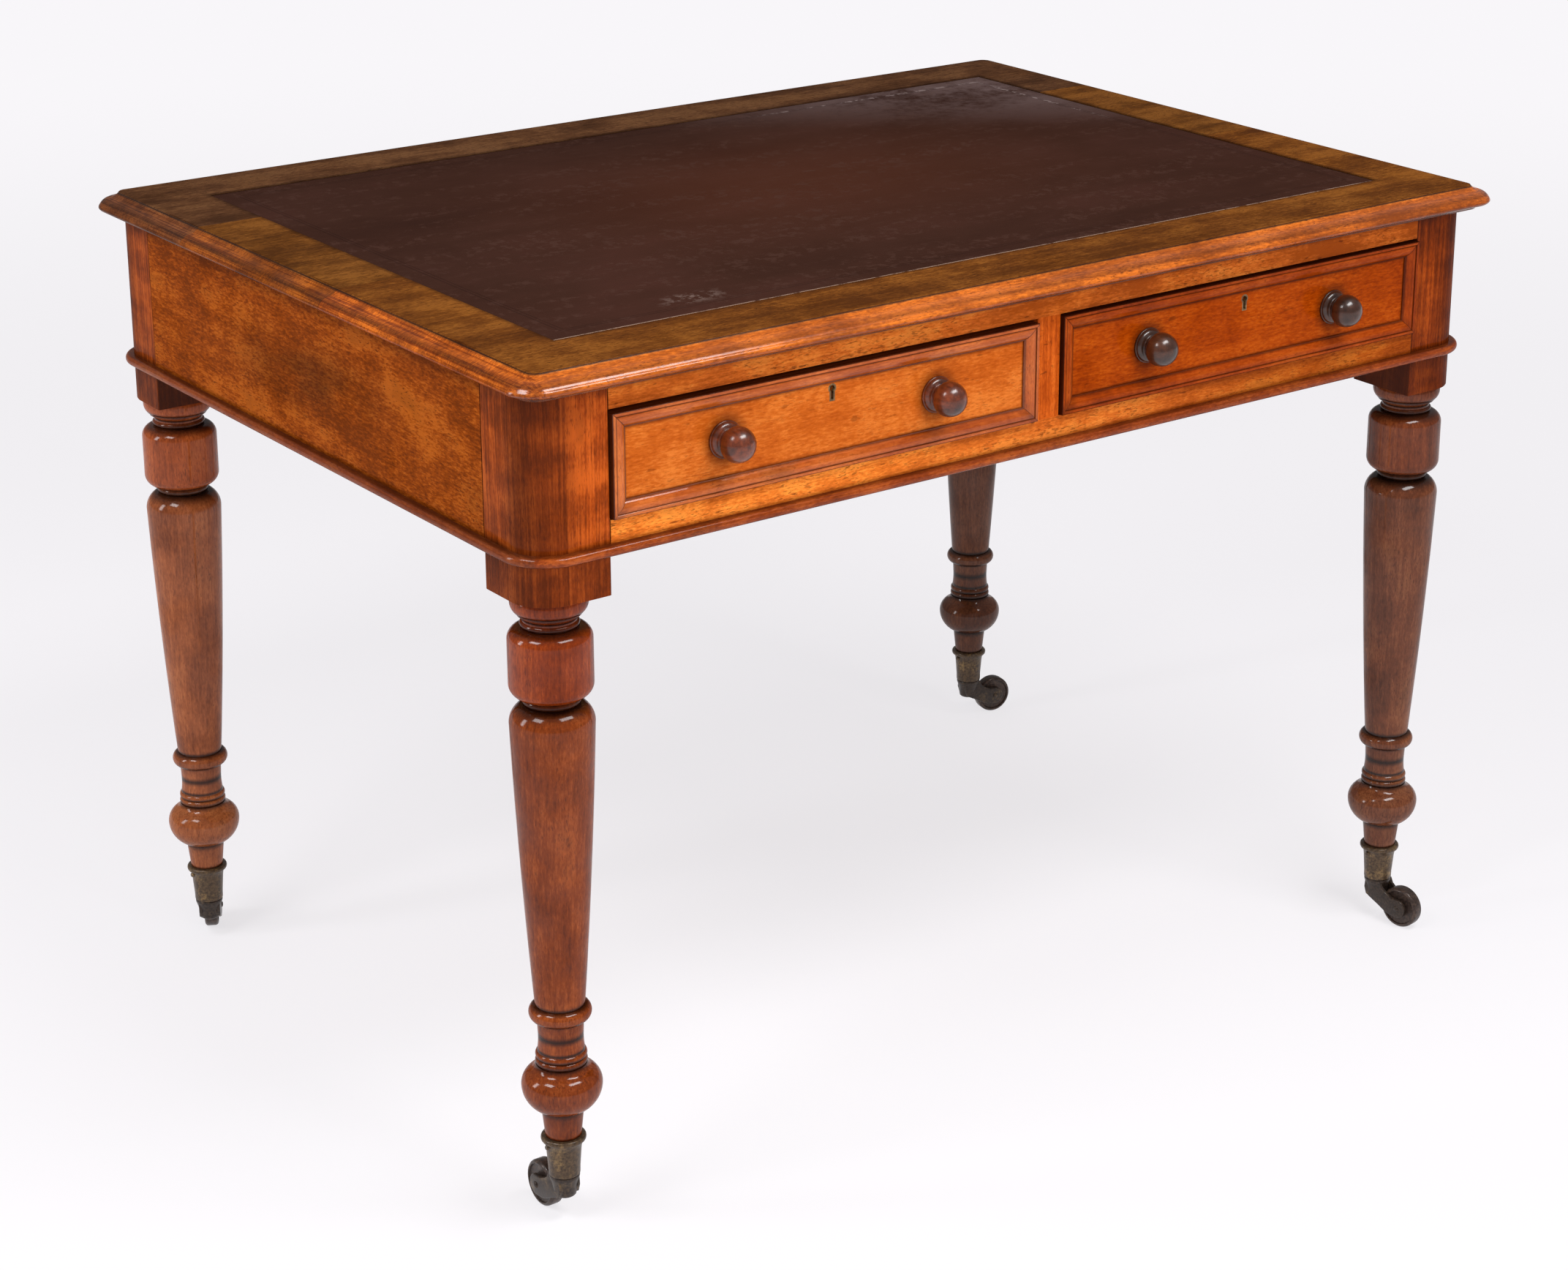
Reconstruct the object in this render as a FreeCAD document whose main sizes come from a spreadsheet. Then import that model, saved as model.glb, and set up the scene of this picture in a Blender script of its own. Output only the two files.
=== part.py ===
import FreeCAD, Part
import math
import os
import re
import Sketcher
from FreeCAD import Placement, Rotation, Vector

# Mahogany writing table with two drawers, a leather inset and brass castors.
# Millimetres. X runs to the right along the drawer fronts, Y to the back, Z up, and the floor is Z 0.
# The origin is on the floor, in the middle of the space that the table and its knobs take up.

SIZES = [
    # the top: three boards, a moulded edge and a sunk leather
    ("top_length", 1072, "top over its moulded edge, left to right"),
    ("top_depth", 764, "top over its moulded edge, front to back"),
    ("top_thickness", 22, "thickness of the top boards"),
    ("top_corner", 28, "plan radius of the top's corners"),
    ("side_overhang", 17, "how far the top stands out at each side"),
    ("front_overhang", 22, "how far the top stands out at the front"),
    ("back_overhang", 14, "how far the top stands out at the back"),
    ("front_board", 322, "width of the front board"),
    ("middle_board", 254, "width of the middle board"),
    ("rim_width", 24, "width of the moulded rim"),
    ("arris_inset", 20, "flat field's edge, inside the nose"),
    ("arris_drop", 2.4, "small step below the flat field"),
    ("ledge_width", 1.6, "flat of the small step"),
    ("thumb_inset", 5.2, "where the sloping moulding turns down into the nose"),
    ("thumb_drop", 6.9, "depth of that turn below the surface"),
    ("nose_drop", 12, "depth of the nose below the surface"),
    ("nose_foot", 4.4, "where the nose meets its underside, inside the nose"),
    ("quirk_inset", 13.2, "small bead under the nose, inside the nose"),
    ("quirk_drop", 17, "depth of the nose's underside below the surface"),
    ("lip_bead", 4, "height of the small bead under the nose"),
    ("lip_inset", 13.8, "bottom lip, inside the nose"),
    ("leather_side_border", 81, "from the nose to the leather at each side"),
    ("leather_end_border", 86, "from the nose to the leather at front and back"),
    ("leather_sink", 2, "depth of the recess for the leather"),
    ("leather_thickness", 1.6, "thickness of the leather"),
    # the frame: corner posts, rails and the bead round the bottom
    ("post_side", 72, "side of the square corner posts"),
    ("post_round", 34, "radius of a post's outer corner"),
    ("block_height", 34.3, "square block under the frieze bead"),
    ("frieze_height", 139.4, "frieze, from the bead to the top"),
    ("panel_thickness", 22, "side and back rails"),
    ("front_rail_depth", 60, "front rails, front to back"),
    ("bottom_rail_height", 28.4, "front rail below the drawers"),
    ("top_rail_height", 20, "front rail above the drawers"),
    ("muntin_width", 25, "upright between the drawers"),
    ("tenon_length", 24, "rail tenons"),
    ("tenon_thickness", 10, "rail tenons"),
    ("tenon_shoulder", 14, "what a tenon is short of its rail at each edge"),
    ("stub_tenon", 8, "tenons of the upright"),
    ("joint_fit", 0.1, "clearance round a tenon"),
    ("mortise_spare", 0.5, "space past a tenon's end"),
    ("bead_height", 9, "bead round the frieze"),
    ("bead_projection", 8, "how far the bead stands out"),
    # what carries and guides the drawers
    ("runner_thickness", 16, "runners and kickers"),
    ("runner_width", 23, "how far a runner reaches under a drawer"),
    ("guide_height", 30, "guides beside the drawers"),
    ("stop_length", 40, "drawer stops"),
    ("stop_width", 12, "drawer stops"),
    ("stop_height", 6, "drawer stops"),
    ("stop_gap", 0.3, "between a shut drawer and its stops"),
    ("stop_offset", 130, "stops, from the middle of the opening"),
    ("block_side", 20, "glue blocks under the top"),
    ("block_length", 60, "glue blocks under the top"),
    ("block_spread_x", 280, "outer glue blocks on the back rail"),
    ("block_spread_y", 180, "outer glue blocks on the side rails"),
    # the drawers
    ("drawer_room", 105, "space behind a shut drawer"),
    ("drawer_side_gap", 1.2, "beside a drawer"),
    ("drawer_low_gap", 0.8, "under a drawer front"),
    ("drawer_run_gap", 0.3, "under a drawer's sides"),
    ("left_top_gap", 3.2, "above the left drawer front"),
    ("right_top_gap", 1.8, "above the right drawer front"),
    ("front_thickness", 20, "drawer fronts"),
    ("field_setback", 1, "drawer field behind the frame's face"),
    ("front_lap", 8, "front left standing over the sides' ends"),
    ("side_thickness", 10, "drawer sides and backs"),
    ("side_drop", 2.4, "sides below the left front's upper edge"),
    ("back_drop", 6, "back below the sides"),
    ("bottom_thickness", 6, "drawer bottoms"),
    ("bottom_raise", 8, "drawer bottom above the sides' lower edge"),
    ("groove_depth", 5, "grooves for the drawer bottom"),
    ("groove_fit", 0.1, "clearance in those grooves"),
    ("moulding_width", 14, "moulding round a drawer front"),
    ("moulding_projection", 5.6, "how far that moulding stands out"),
    ("moulding_flat", 3, "flat outer edge of that moulding"),
    ("moulding_quirk", 0.9, "small step inside the flat"),
    ("moulding_toe", 1.2, "inner edge of that moulding"),
    ("moulding_toe_width", 1.2, "flat inner edge"),
    ("outer_left_knob", 106.7, "left drawer's left knob, from the drawer's middle"),
    ("inner_left_knob", 108.5, "left drawer's right knob, from the drawer's middle"),
    ("inner_right_knob", 115, "right drawer's left knob, from the drawer's middle"),
    ("outer_right_knob", 110.9, "right drawer's right knob, from the drawer's middle"),
    ("inner_left_drop", 1.9, "left drawer's right knob, below the opening's middle"),
    ("outer_right_drop", 2.7, "right drawer's right knob, below the opening's middle"),
    ("spigot_fit", 0.05, "clearance round a knob's spigot"),
    ("key_drop", 22.5, "keyhole's eye below the top of the opening"),
    ("key_eye_radius", 2.6, "round part of the keyhole"),
    ("key_slot_width", 2.6, "straight part of the keyhole"),
    ("key_slot_length", 9.5, "straight part, below the eye's middle"),
    ("escutcheon_rim", 1.5, "thickness of the keyhole's liner"),
    ("escutcheon_depth", 3, "depth of that liner"),
    ("lock_width", 52, "lock case"),
    ("lock_height", 36, "lock case"),
    ("lock_depth", 8, "lock case"),
    ("lock_plate", 2, "plate over the lock, along the drawer's top"),
    ("lock_plate_width", 64, "that plate, left to right"),
    ("lock_plate_depth", 14, "that plate, front to back"),
    ("lock_fit", 0.1, "clearance round the lock"),
    ("key_pin_radius", 1, "pin that the key turns on"),
    # the castors
    ("wheel_radius", 20.5, "castor wheels"),
    ("wheel_width", 13, "castor wheels"),
    ("wheel_round", 2.5, "rounding of the tread's edges"),
    ("axle_radius", 3, "castor axles"),
    ("axle_fit", 0.08, "running clearance on an axle or pintle"),
    ("wheel_side_gap", 0.5, "between a wheel and the cheeks"),
    ("wheel_tread_gap", 1, "between the tread and the horn"),
    ("castor_trail", 31, "axle behind the swivel"),
    ("cheek_thickness", 3.2, "cheeks beside a wheel"),
    ("cheek_radius", 10, "round end of a cheek"),
    ("horn_low_level", 24, "underside of the horn's neck"),
    ("horn_low_radius", 9.6, "neck at its underside"),
    ("horn_high_radius", 13, "neck under the cup"),
    ("pintle_radius", 4, "pivot that the horn turns on"),
    ("pintle_length", 16, "pivot above the horn"),
    ("swivel_gap", 0.3, "between the horn and the cup"),
    ("bore_spare", 4, "space above the pintle's end"),
    ("cup_level", 44.3, "underside of the cup"),
    ("cup_floor", 6.5, "thickness of the cup's floor"),
    ("cup_wall", 2.2, "wall of the cup"),
    ("cup_ring", 2.6, "section radius of the ring round the cup's mouth"),
    ("cup_fit", 0.05, "between a foot and its cup"),
    ("screw_radius", 1.4, "castor screws"),
    ("screw_length", 8, "castor screws"),
    ("screw_head", 2.7, "radius of a screw's head"),
    ("screw_head_top", 1.7, "radius of that head's flat top"),
    ("screw_head_height", 1.5, "height of a screw's head"),
    ("screw_drop", 8.5, "castor screws below the cup's mouth"),
    # shared
    ("overrun", 10, "how far cutting shapes run past what they cut"),
]

# How each castor points at rest, in degrees from X.
TRAIL_ANGLES = {"front_left": 90, "rear_left": 62, "front_right": -81, "rear_right": -10}

# The turned leg, from the foot's end upwards: name, length, radius at the row's bottom, radius at its top,
# and bulge share (the arc's rise as a share of half its chord, outwards if positive).
# A bottom radius of None carries on from the row before.
LEG_TURNING = [
    ("foot_end", 30.2, 11.1, 14.9, 0),
    ("foot", 25, 15.3, 17.9, 0),
    ("bulb_low", 23.5, 18.4, 34, 0.3),
    ("bulb_high", 13.2, None, 26.5, 0.26),
    ("bulb_neck", 5.8, None, 21.5, -0.2),
    ("collar_low", 6, 20.6, 20.3, 0.5),
    ("collar_high", 6, None, 20, 0.5),
    ("flare", 15, None, 19, -0.05),
    ("stem", 13.8, None, 19.6, 0),
    ("ring", 13.2, 22.5, 22.5, 0.6),
    ("shaft", 252.5, 20.9, 34.9, 0.01),
    ("shoulder", 15.3, None, 25.5, 0.26),
    ("lower_bead", 6.5, 22, 22, 0.6),
    ("barrel_low", 11.5, 24, 34.6, 0.39),
    ("barrel", 38, None, 34.6, 0),
    ("barrel_high", 10.5, None, 24.5, 0.4),
    ("upper_bead", 5.3, 22.5, 22.5, 0.7),
    ("cove", 5.7, None, 26.5, -0.35),
    ("fillet", 2, None, 26.5, 0),
    ("ring_under", 14.5, 28.5, 30, 0.35),
]

# The turned knob, from the spigot's end outwards, in the same form.
KNOB_TURNING = [
    ("knob_spigot", 18, 6, 6, 0),
    ("knob_rosette", 6.6, 15.8, 11.5, 0.5),
    ("knob_neck", 2.4, 10, 10, -0.3),
    ("knob_ball_low", 9, None, 15.1, 0.27),
    ("knob_ball_high", 14.8, None, 3, 0.356),
]

# Where each knob sits on its drawer: across from the middle, and up from the opening's lower edge.
KNOB_PLACES = {
    ("left", -1): ("-outer_left_knob", "drawer_opening / 2"),
    ("left", 1): ("inner_left_knob", "drawer_opening / 2 - inner_left_drop"),
    ("right", -1): ("-inner_right_knob", "drawer_opening / 2"),
    ("right", 1): ("outer_right_knob", "drawer_opening / 2 - outer_right_drop"),
}

doc = FreeCAD.newDocument("WritingTable")
sheet = doc.addObject("Spreadsheet::Sheet", "Sizes")
levels = doc.addObject("App::VarSet", "Levels")
owners = {}
nodes = []


def add_size(alias, value, note):
    row = len(owners) + 1
    sheet.set(f"A{row}", note)
    sheet.set(f"B{row}", str(value))
    sheet.setAlias(f"B{row}", alias)
    owners[alias] = "Sizes"


def add_turning(rows):
    for name, length, low, high, bulge in rows:
        add_size(f"{name}_length", length, f"length of {name}")
        if low is not None:
            add_size(f"{name}_low", low, f"radius at the bottom of {name}")
        if high:
            add_size(f"{name}_high", high, f"radius at the top of {name}")


def full(text):
    """The expression with each size's owner written before its name."""
    return re.sub(r"[a-z][a-z0-9_]*", lambda m: f"{owners[m[0]]}.{m[0]}" if m[0] in owners else m[0], text)


def add_level(name, text):
    levels.addProperty("App::PropertyFloat", name, "Levels")
    levels.setExpression(name, full(text))
    owners[name] = "Levels"


def number(text):
    return float(levels.evalExpression(full(text)))


def place(thing, at, low=("0", "0", "0")):
    for axis, start, offset in zip("xyz", at, low):
        thing.setExpression(f"Placement.Base.{axis}", full(f"({start}) + ({offset})"))
    return thing


def box(name, x, y, z, at=("0", "0", "0")):
    """A block between the (low, high) pairs x, y and z, measured from at."""
    block = doc.addObject("Part::Box", name)
    for prop, (low, high) in zip(("Length", "Width", "Height"), (x, y, z)):
        block.setExpression(prop, full(f"({high}) - ({low})"))
    return place(block, at, (x[0], y[0], z[0]))


TURNED_AXES = {"X": Rotation(Vector(0, 1, 0), 90), "Y": Rotation(Vector(1, 0, 0), -90), "Z": Rotation()}


def rod(name, radius, length, start, axis="Z", at=("0", "0", "0")):
    """A cylinder that runs from start in the direction of axis."""
    cylinder = doc.addObject("Part::Cylinder", name)
    cylinder.Placement = Placement(Vector(), TURNED_AXES[axis])
    cylinder.setExpression("Radius", full(radius))
    cylinder.setExpression("Height", full(length))
    return place(cylinder, at, start)


def cone(name, low_radius, high_radius, height, start, at=("0", "0", "0")):
    taper = doc.addObject("Part::Cone", name)
    taper.setExpression("Radius1", full(low_radius))
    taper.setExpression("Radius2", full(high_radius))
    taper.setExpression("Height", full(height))
    return place(taper, at, start)


def fuse(name, parts):
    joined = doc.addObject("Part::MultiFuse", name)
    joined.Shapes = parts
    joined.Refine = True
    return joined


def cut(name, base, tools):
    result = doc.addObject("Part::Cut", name)
    result.Base = base
    result.Tool = tools[0] if len(tools) == 1 else fuse(f"{name}_tools", tools)
    return result


def common(name, base, tool):
    shared = doc.addObject("Part::Common", name)
    shared.Base = base
    shared.Tool = tool
    return shared


def mirrored(name, source):
    """The same piece on the left of the table."""
    copy = doc.addObject("Part::Mirroring", name)
    copy.Source = source
    copy.Normal = Vector(1, 0, 0)
    return copy


def group(name, parts):
    compound = doc.addObject("Part::Compound", name)
    compound.Links = parts
    return compound


def node(label, piece):
    piece.Label = label
    nodes.append(piece)
    return piece


def draw(sketch, points):
    """A closed outline of (x, y, bulge share) rows, each held to its sizes by constraints."""
    places = [Vector(number(x), number(y), 0) for x, y, bulge in points]
    ends = []
    for (x, y, bulge), start, stop in zip(points, places, places[1:] + places[:1]):
        chord = stop - start
        if bulge:
            middle = (start + stop) * 0.5 + Vector(chord.y, -chord.x, 0) * (bulge / 2)
            edge = sketch.addGeometry(Part.Arc(start, middle, stop), False)
        else:
            edge = sketch.addGeometry(Part.LineSegment(start, stop), False)
        ends.append((edge, 1, 2) if bulge >= 0 else (edge, 2, 1))
    constraints = []
    bound = []
    for i, (edge, first, last) in enumerate(ends):
        after = (i + 1) % len(ends)
        x, y, bulge = points[i]
        next_x, next_y, next_bulge = points[after]
        constraints.append(Sketcher.Constraint("Coincident", edge, last, ends[after][0], ends[after][1]))
        constraints.append(Sketcher.Constraint("DistanceX", -1, 1, edge, first, places[i].x))
        bound.append((len(constraints) - 1, x))
        constraints.append(Sketcher.Constraint("DistanceY", -1, 1, edge, first, places[i].y))
        bound.append((len(constraints) - 1, y))
        if bulge:
            chord = f"sqrt((({x}) - ({next_x}))^2 + (({y}) - ({next_y}))^2)"
            radius = f"{chord} * (1 + {bulge}^2) / (4 * {abs(bulge)})"
            constraints.append(Sketcher.Constraint("Radius", edge, number(radius)))
            bound.append((len(constraints) - 1, radius))
    sketch.addConstraint(constraints)
    for index, text in bound:
        sketch.setExpression(f"Constraints[{index}]", full(text))


def turned(name, rows):
    """A body turned about Z from rows of lengths and radii, starting at Z 0."""
    body = doc.addObject("PartDesign::Body", name)
    sketch = body.newObject("Sketcher::SketchObject", f"{name}_profile")
    planes = {feature.Role: feature for feature in body.Origin.OriginFeatures}
    sketch.AttachmentSupport = [(planes["XZ_Plane"], "")]
    sketch.MapMode = "FlatFace"
    points = [("0", "0", 0)]
    height = "0"
    radius = "0"
    for row, length, low, high, bulge in rows:
        if low is not None:
            radius = f"{row}_low"
            points.append((radius, height, bulge))
        else:
            points[-1] = (radius, height, bulge)
        height = f"{height} + {row}_length"
        radius = f"{row}_high" if high else "0"
        points.append((radius, height, 0))
    if radius != "0":
        points.append(("0", height, 0))
    draw(sketch, points)
    revolution = body.newObject("PartDesign::Revolution", f"{name}_turning")
    revolution.Profile = sketch
    revolution.ReferenceAxis = (sketch, ["V_Axis"])
    revolution.Angle = 360
    return body


QUARTER_BULGE = math.tan(math.pi / 8)


def run_round(name, path_points, profile_points, path_turn, profile_turn, at, start, corners):
    """A profile swept once round a closed outline, from the outline's first point."""
    path = doc.addObject("Sketcher::SketchObject", f"{name}_path")
    path.Placement = Placement(Vector(), path_turn)
    draw(path, path_points)
    place(path, at)
    profile = doc.addObject("Sketcher::SketchObject", f"{name}_profile")
    profile.Placement = Placement(Vector(), profile_turn)
    draw(profile, profile_points)
    place(profile, at, start)
    sweep = doc.addObject("Part::Sweep", name)
    sweep.Sections = [profile]
    sweep.Spine = (path, [f"Edge{i + 1}" for i in range(len(path_points))])
    sweep.Solid = True
    sweep.Transition = corners
    return sweep


FLAT = Rotation()
# in a profile at the front edge, x runs inwards and y up
FRONT_PROFILE = Rotation(Vector(0, 1, 0), Vector(0, 0, 1), Vector(1, 0, 0))


def rounded_outline(half_x, half_y, radius):
    """A rounded rectangle that starts at the middle of its front edge."""
    x, y, r = f"({half_x})", f"({half_y})", f"({radius})"
    return [
        ("0", f"-{y}", 0),
        (f"{x} - {r}", f"-{y}", QUARTER_BULGE),
        (x, f"{r} - {y}", 0),
        (x, f"{y} - {r}", QUARTER_BULGE),
        (f"{x} - {r}", y, 0),
        (f"{r} - {x}", y, QUARTER_BULGE),
        (f"-{x}", f"{y} - {r}", 0),
        (f"-{x}", f"{r} - {y}", QUARTER_BULGE),
        (f"{r} - {x}", f"-{y}", 0),
    ]


for entry in SIZES:
    add_size(*entry)
add_turning(LEG_TURNING)
add_turning(KNOB_TURNING)

# Levels and lines that several pieces share, worked out from the sizes.
knob_reach = " + ".join(f"{row[0]}_length" for row in KNOB_TURNING[1:])
add_level("frame_half_x", "top_length / 2 - side_overhang")
add_level("frame_half_y", "(top_depth - front_overhang - back_overhang) / 2")
add_level("half_x", "frame_half_x - post_side / 2")
add_level("half_y", "frame_half_y - post_side / 2")
add_level("knob_line", f"frame_half_y - field_setback + {knob_reach}")
add_level("frame_y", "(knob_line - frame_half_y - back_overhang) / 2")
add_level("front_y", "frame_y - frame_half_y")
add_level("back_y", "frame_y + frame_half_y")
add_level("top_y", "frame_y - (front_overhang - back_overhang) / 2")
add_level("leather_half_x", "top_length / 2 - leather_side_border")
add_level("leather_half_y", "top_depth / 2 - leather_end_border")
add_level("post_in_x", "half_x - post_side / 2")
add_level("post_in_front_y", "frame_y - half_y + post_side / 2")
add_level("post_in_back_y", "frame_y + half_y - post_side / 2")
add_level("foot_z", "cup_level + cup_floor")
add_level("block_z", "foot_z + " + " + ".join(f"{row[0]}_length" for row in LEG_TURNING))
add_level("frieze_z", "block_z + block_height")
add_level("under_top_z", "frieze_z + frieze_height")
add_level("surface_z", "under_top_z + top_thickness")
add_level("opening_z", "frieze_z + bottom_rail_height")
add_level("drawer_opening", "frieze_height - bottom_rail_height - top_rail_height")
add_level("opening_top_z", "opening_z + drawer_opening")
add_level("opening_width", "post_in_x - muntin_width / 2")
add_level("drawer_x", "(post_in_x + muntin_width / 2) / 2")
add_level("drawer_half", "opening_width / 2 - drawer_side_gap")
add_level("drawer_depth", "2 * frame_half_y - field_setback - panel_thickness - drawer_room")
add_level("mouth_z", "foot_z + foot_end_length")
doc.recompute()


# The top

def make_top():
    half_x, half_y = "top_length / 2", "top_depth / 2"
    at = ("0", "top_y", "under_top_z")
    step = "(top_thickness - arris_drop)"
    edge = [
        ("rim_width", "0", 0),
        ("lip_inset", "0", 0),
        ("lip_inset", "top_thickness - quirk_drop - lip_bead", 0),
        ("quirk_inset", "top_thickness - quirk_drop - lip_bead", -0.8),
        ("quirk_inset", "top_thickness - quirk_drop", 0),
        ("nose_foot", "top_thickness - quirk_drop", -0.38),
        ("0", "top_thickness - nose_drop", -0.38),
        ("thumb_inset", "top_thickness - thumb_drop", -0.08),
        ("arris_inset - ledge_width", step, 0),
        ("arris_inset", step, 0),
        ("arris_inset", "top_thickness", 0),
        ("rim_width", "top_thickness", 0),
    ]
    rim = run_round("TopRim", rounded_outline(half_x, half_y, "top_corner"), edge, FLAT, FRONT_PROFILE,
                    at, ("0", f"-{half_y}", "0"), "Round corner")
    inner_x, inner_y = f"({half_x} - rim_width)", f"({half_y} - rim_width)"
    core = box("TopCore", (f"-{inner_x}", inner_x), (f"-{inner_y}", inner_y), ("0", "top_thickness"), at)
    leather_x, leather_y = ("-leather_half_x", "leather_half_x"), ("-leather_half_y", "leather_half_y")
    recess = box("LeatherRecess", leather_x, leather_y,
                 ("top_thickness - leather_sink", "top_thickness + overrun"), at)
    slab = cut("TopSlab", fuse("TopBlank", [rim, core]), [recess])
    joints = [f"-{half_y} - overrun", f"-{half_y} + front_board", f"-{half_y} + front_board + middle_board",
              f"{half_y} + overrun"]
    for name, low, high in zip(("front", "middle", "back"), joints, joints[1:]):
        strip = box(f"TopStrip_{name}", (f"-{half_x} - overrun", f"{half_x} + overrun"), (low, high),
                    ("-overrun", "top_thickness + overrun"), at)
        node(f"top_board_{name}", common(f"TopBoard_{name}", slab, strip))
    leather_low = "top_thickness - leather_sink"
    node("leather_inset", box("LeatherInset", leather_x, leather_y,
                              (leather_low, f"{leather_low} + leather_thickness"), at))


# The castor screws, which the cups and feet are cut for

def castor_corners():
    for end, y_sign in (("front", -1), ("rear", 1)):
        for side, x_sign in (("right", 1), ("left", -1)):
            yield f"{end}_{side}", f"{x_sign} * half_x", f"frame_y + {y_sign} * half_y"


def make_castor_screws():
    screws = {}
    level = "mouth_z - screw_drop"
    share = "(1 - screw_drop / foot_end_length)"
    face = f"(foot_end_low + (foot_end_high - foot_end_low) * {share} + cup_wall)"
    for corner, x, y in castor_corners():
        screws[corner] = []
        for hand, sign, start in (("left", -1, f"-{face}"), ("right", 1, f"{face} - screw_length")):
            shank = rod(f"ScrewShank_{corner}_{hand}", "screw_radius", "screw_length",
                        (start, "0", level), "X", (x, y, "0"))
            head = cone(f"ScrewHead_{corner}_{hand}", "screw_head", "screw_head_top", "screw_head_height",
                        (f"{sign} * {face}", "0", level), (x, y, "0"))
            head.Placement.Rotation = Rotation(Vector(0, 1, 0), 90 * sign)
            screws[corner].append(fuse(f"Screw_{corner}_{hand}", [shank, head]))
    node("castor_screws", group("CastorScrews", [screw for pair in screws.values() for screw in pair]))
    return screws


# The legs: a square post with a rounded outer corner above a turned leg

def tenon_hole(name, x, y, z, open_axis, open_side):
    """A mortise with clearance round the tenon and spare depth past its end."""
    ranges = {"x": list(x), "y": list(y), "z": list(z)}
    for axis, pair in ranges.items():
        if axis != open_axis:
            pair[0] = f"{pair[0]} - joint_fit"
            pair[1] = f"{pair[1]} + joint_fit"
        elif open_side > 0:
            pair[0] = f"{pair[0]} - mortise_spare"
        else:
            pair[1] = f"{pair[1]} + mortise_spare"
    return box(name, *ranges.values())


TENON_X = ("post_in_x", "post_in_x + tenon_length")
SIDE_TENON_X = ("frame_half_x - (panel_thickness + tenon_thickness) / 2",
                "frame_half_x - (panel_thickness - tenon_thickness) / 2")
PANEL_TENON_Z = ("frieze_z + tenon_shoulder", "under_top_z - tenon_shoulder")
FRONT_TENON_Y = ("front_y + tenon_shoulder", "front_y + front_rail_depth - tenon_shoulder")
BACK_TENON_Y = ("back_y - (panel_thickness + tenon_thickness) / 2",
                "back_y - (panel_thickness - tenon_thickness) / 2")
LOW_TENON_Z = ("frieze_z + (bottom_rail_height - tenon_thickness) / 2",
               "frieze_z + (bottom_rail_height + tenon_thickness) / 2")
HIGH_TENON_Z = ("(opening_top_z + under_top_z - tenon_thickness) / 2",
                "(opening_top_z + under_top_z + tenon_thickness) / 2")
SIDE_TENON_FRONT_Y = ("post_in_front_y - tenon_length", "post_in_front_y")
SIDE_TENON_BACK_Y = ("post_in_back_y", "post_in_back_y + tenon_length")


def make_leg(end, screws):
    """The right-hand leg of one end; the left-hand one is its mirror image."""
    sign = -1 if end == "front" else 1
    corner = f"{end}_right"
    axis = ("half_x", f"frame_y + {sign} * half_y")
    turning = turned(f"Turning_{end}", LEG_TURNING)
    place(turning, (axis[0], axis[1], "foot_z"))
    outer = "post_side / 2"
    inner = f"({outer} - post_round)"
    tall = ("block_z", "under_top_z")
    # the two blocks leave the outer corner to the round column
    across = (f"-{outer}", inner) if sign > 0 else (f"-{inner}", outer)
    post = fuse(f"Post_{end}", [
        turning,
        box(f"PostWide_{end}", (f"-{outer}", outer), across, tall, (*axis, "0")),
        box(f"PostDeep_{end}", (f"-{outer}", inner), (f"-{outer}", outer), tall, (*axis, "0")),
        rod(f"PostRound_{end}", "post_round", "under_top_z - block_z", (inner, f"{sign} * {inner}", "block_z"),
            "Z", (*axis, "0")),
    ])
    holes = [rod(f"PintleBore_{end}", "pintle_radius + axle_fit", "pintle_length - cup_floor + bore_spare",
                 ("0", "0", "foot_z"), "Z", (*axis, "0"))]
    holes += screws[corner]
    if sign < 0:
        holes.append(tenon_hole("MortiseLow", TENON_X, FRONT_TENON_Y, LOW_TENON_Z, "x", -1))
        holes.append(tenon_hole("MortiseHigh", TENON_X, FRONT_TENON_Y, HIGH_TENON_Z, "x", -1))
        holes.append(tenon_hole("MortiseSideFront", SIDE_TENON_X, SIDE_TENON_FRONT_Y, PANEL_TENON_Z, "y", 1))
    else:
        holes.append(tenon_hole("MortiseBack", TENON_X, BACK_TENON_Y, PANEL_TENON_Z, "x", -1))
        holes.append(tenon_hole("MortiseSideBack", SIDE_TENON_X, SIDE_TENON_BACK_Y, PANEL_TENON_Z, "y", -1))
    leg = node(f"leg_{end}_right", cut(f"Leg_{end}_right", post, holes))
    node(f"leg_{end}_left", mirrored(f"Leg_{end}_left", leg))


# The rails, with their tenons

def front_rail(label, z, tenon_z, muntin_hole_z):
    ends = [box(f"{label}_tenon_{side}", x, FRONT_TENON_Y, tenon_z)
            for side, x in (("right", TENON_X), ("left", ("-post_in_x - tenon_length", "-post_in_x")))]
    plank = box(f"{label}_plank", ("-post_in_x", "post_in_x"), ("front_y", "front_y + front_rail_depth"), z)
    hole = box(f"{label}_hole", ("-tenon_thickness / 2 - joint_fit", "tenon_thickness / 2 + joint_fit"),
               (f"{FRONT_TENON_Y[0]} - joint_fit", f"{FRONT_TENON_Y[1]} + joint_fit"), muntin_hole_z)
    node(label, cut(f"{label}_rail", fuse(f"{label}_blank", [plank] + ends), [hole]))


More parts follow.
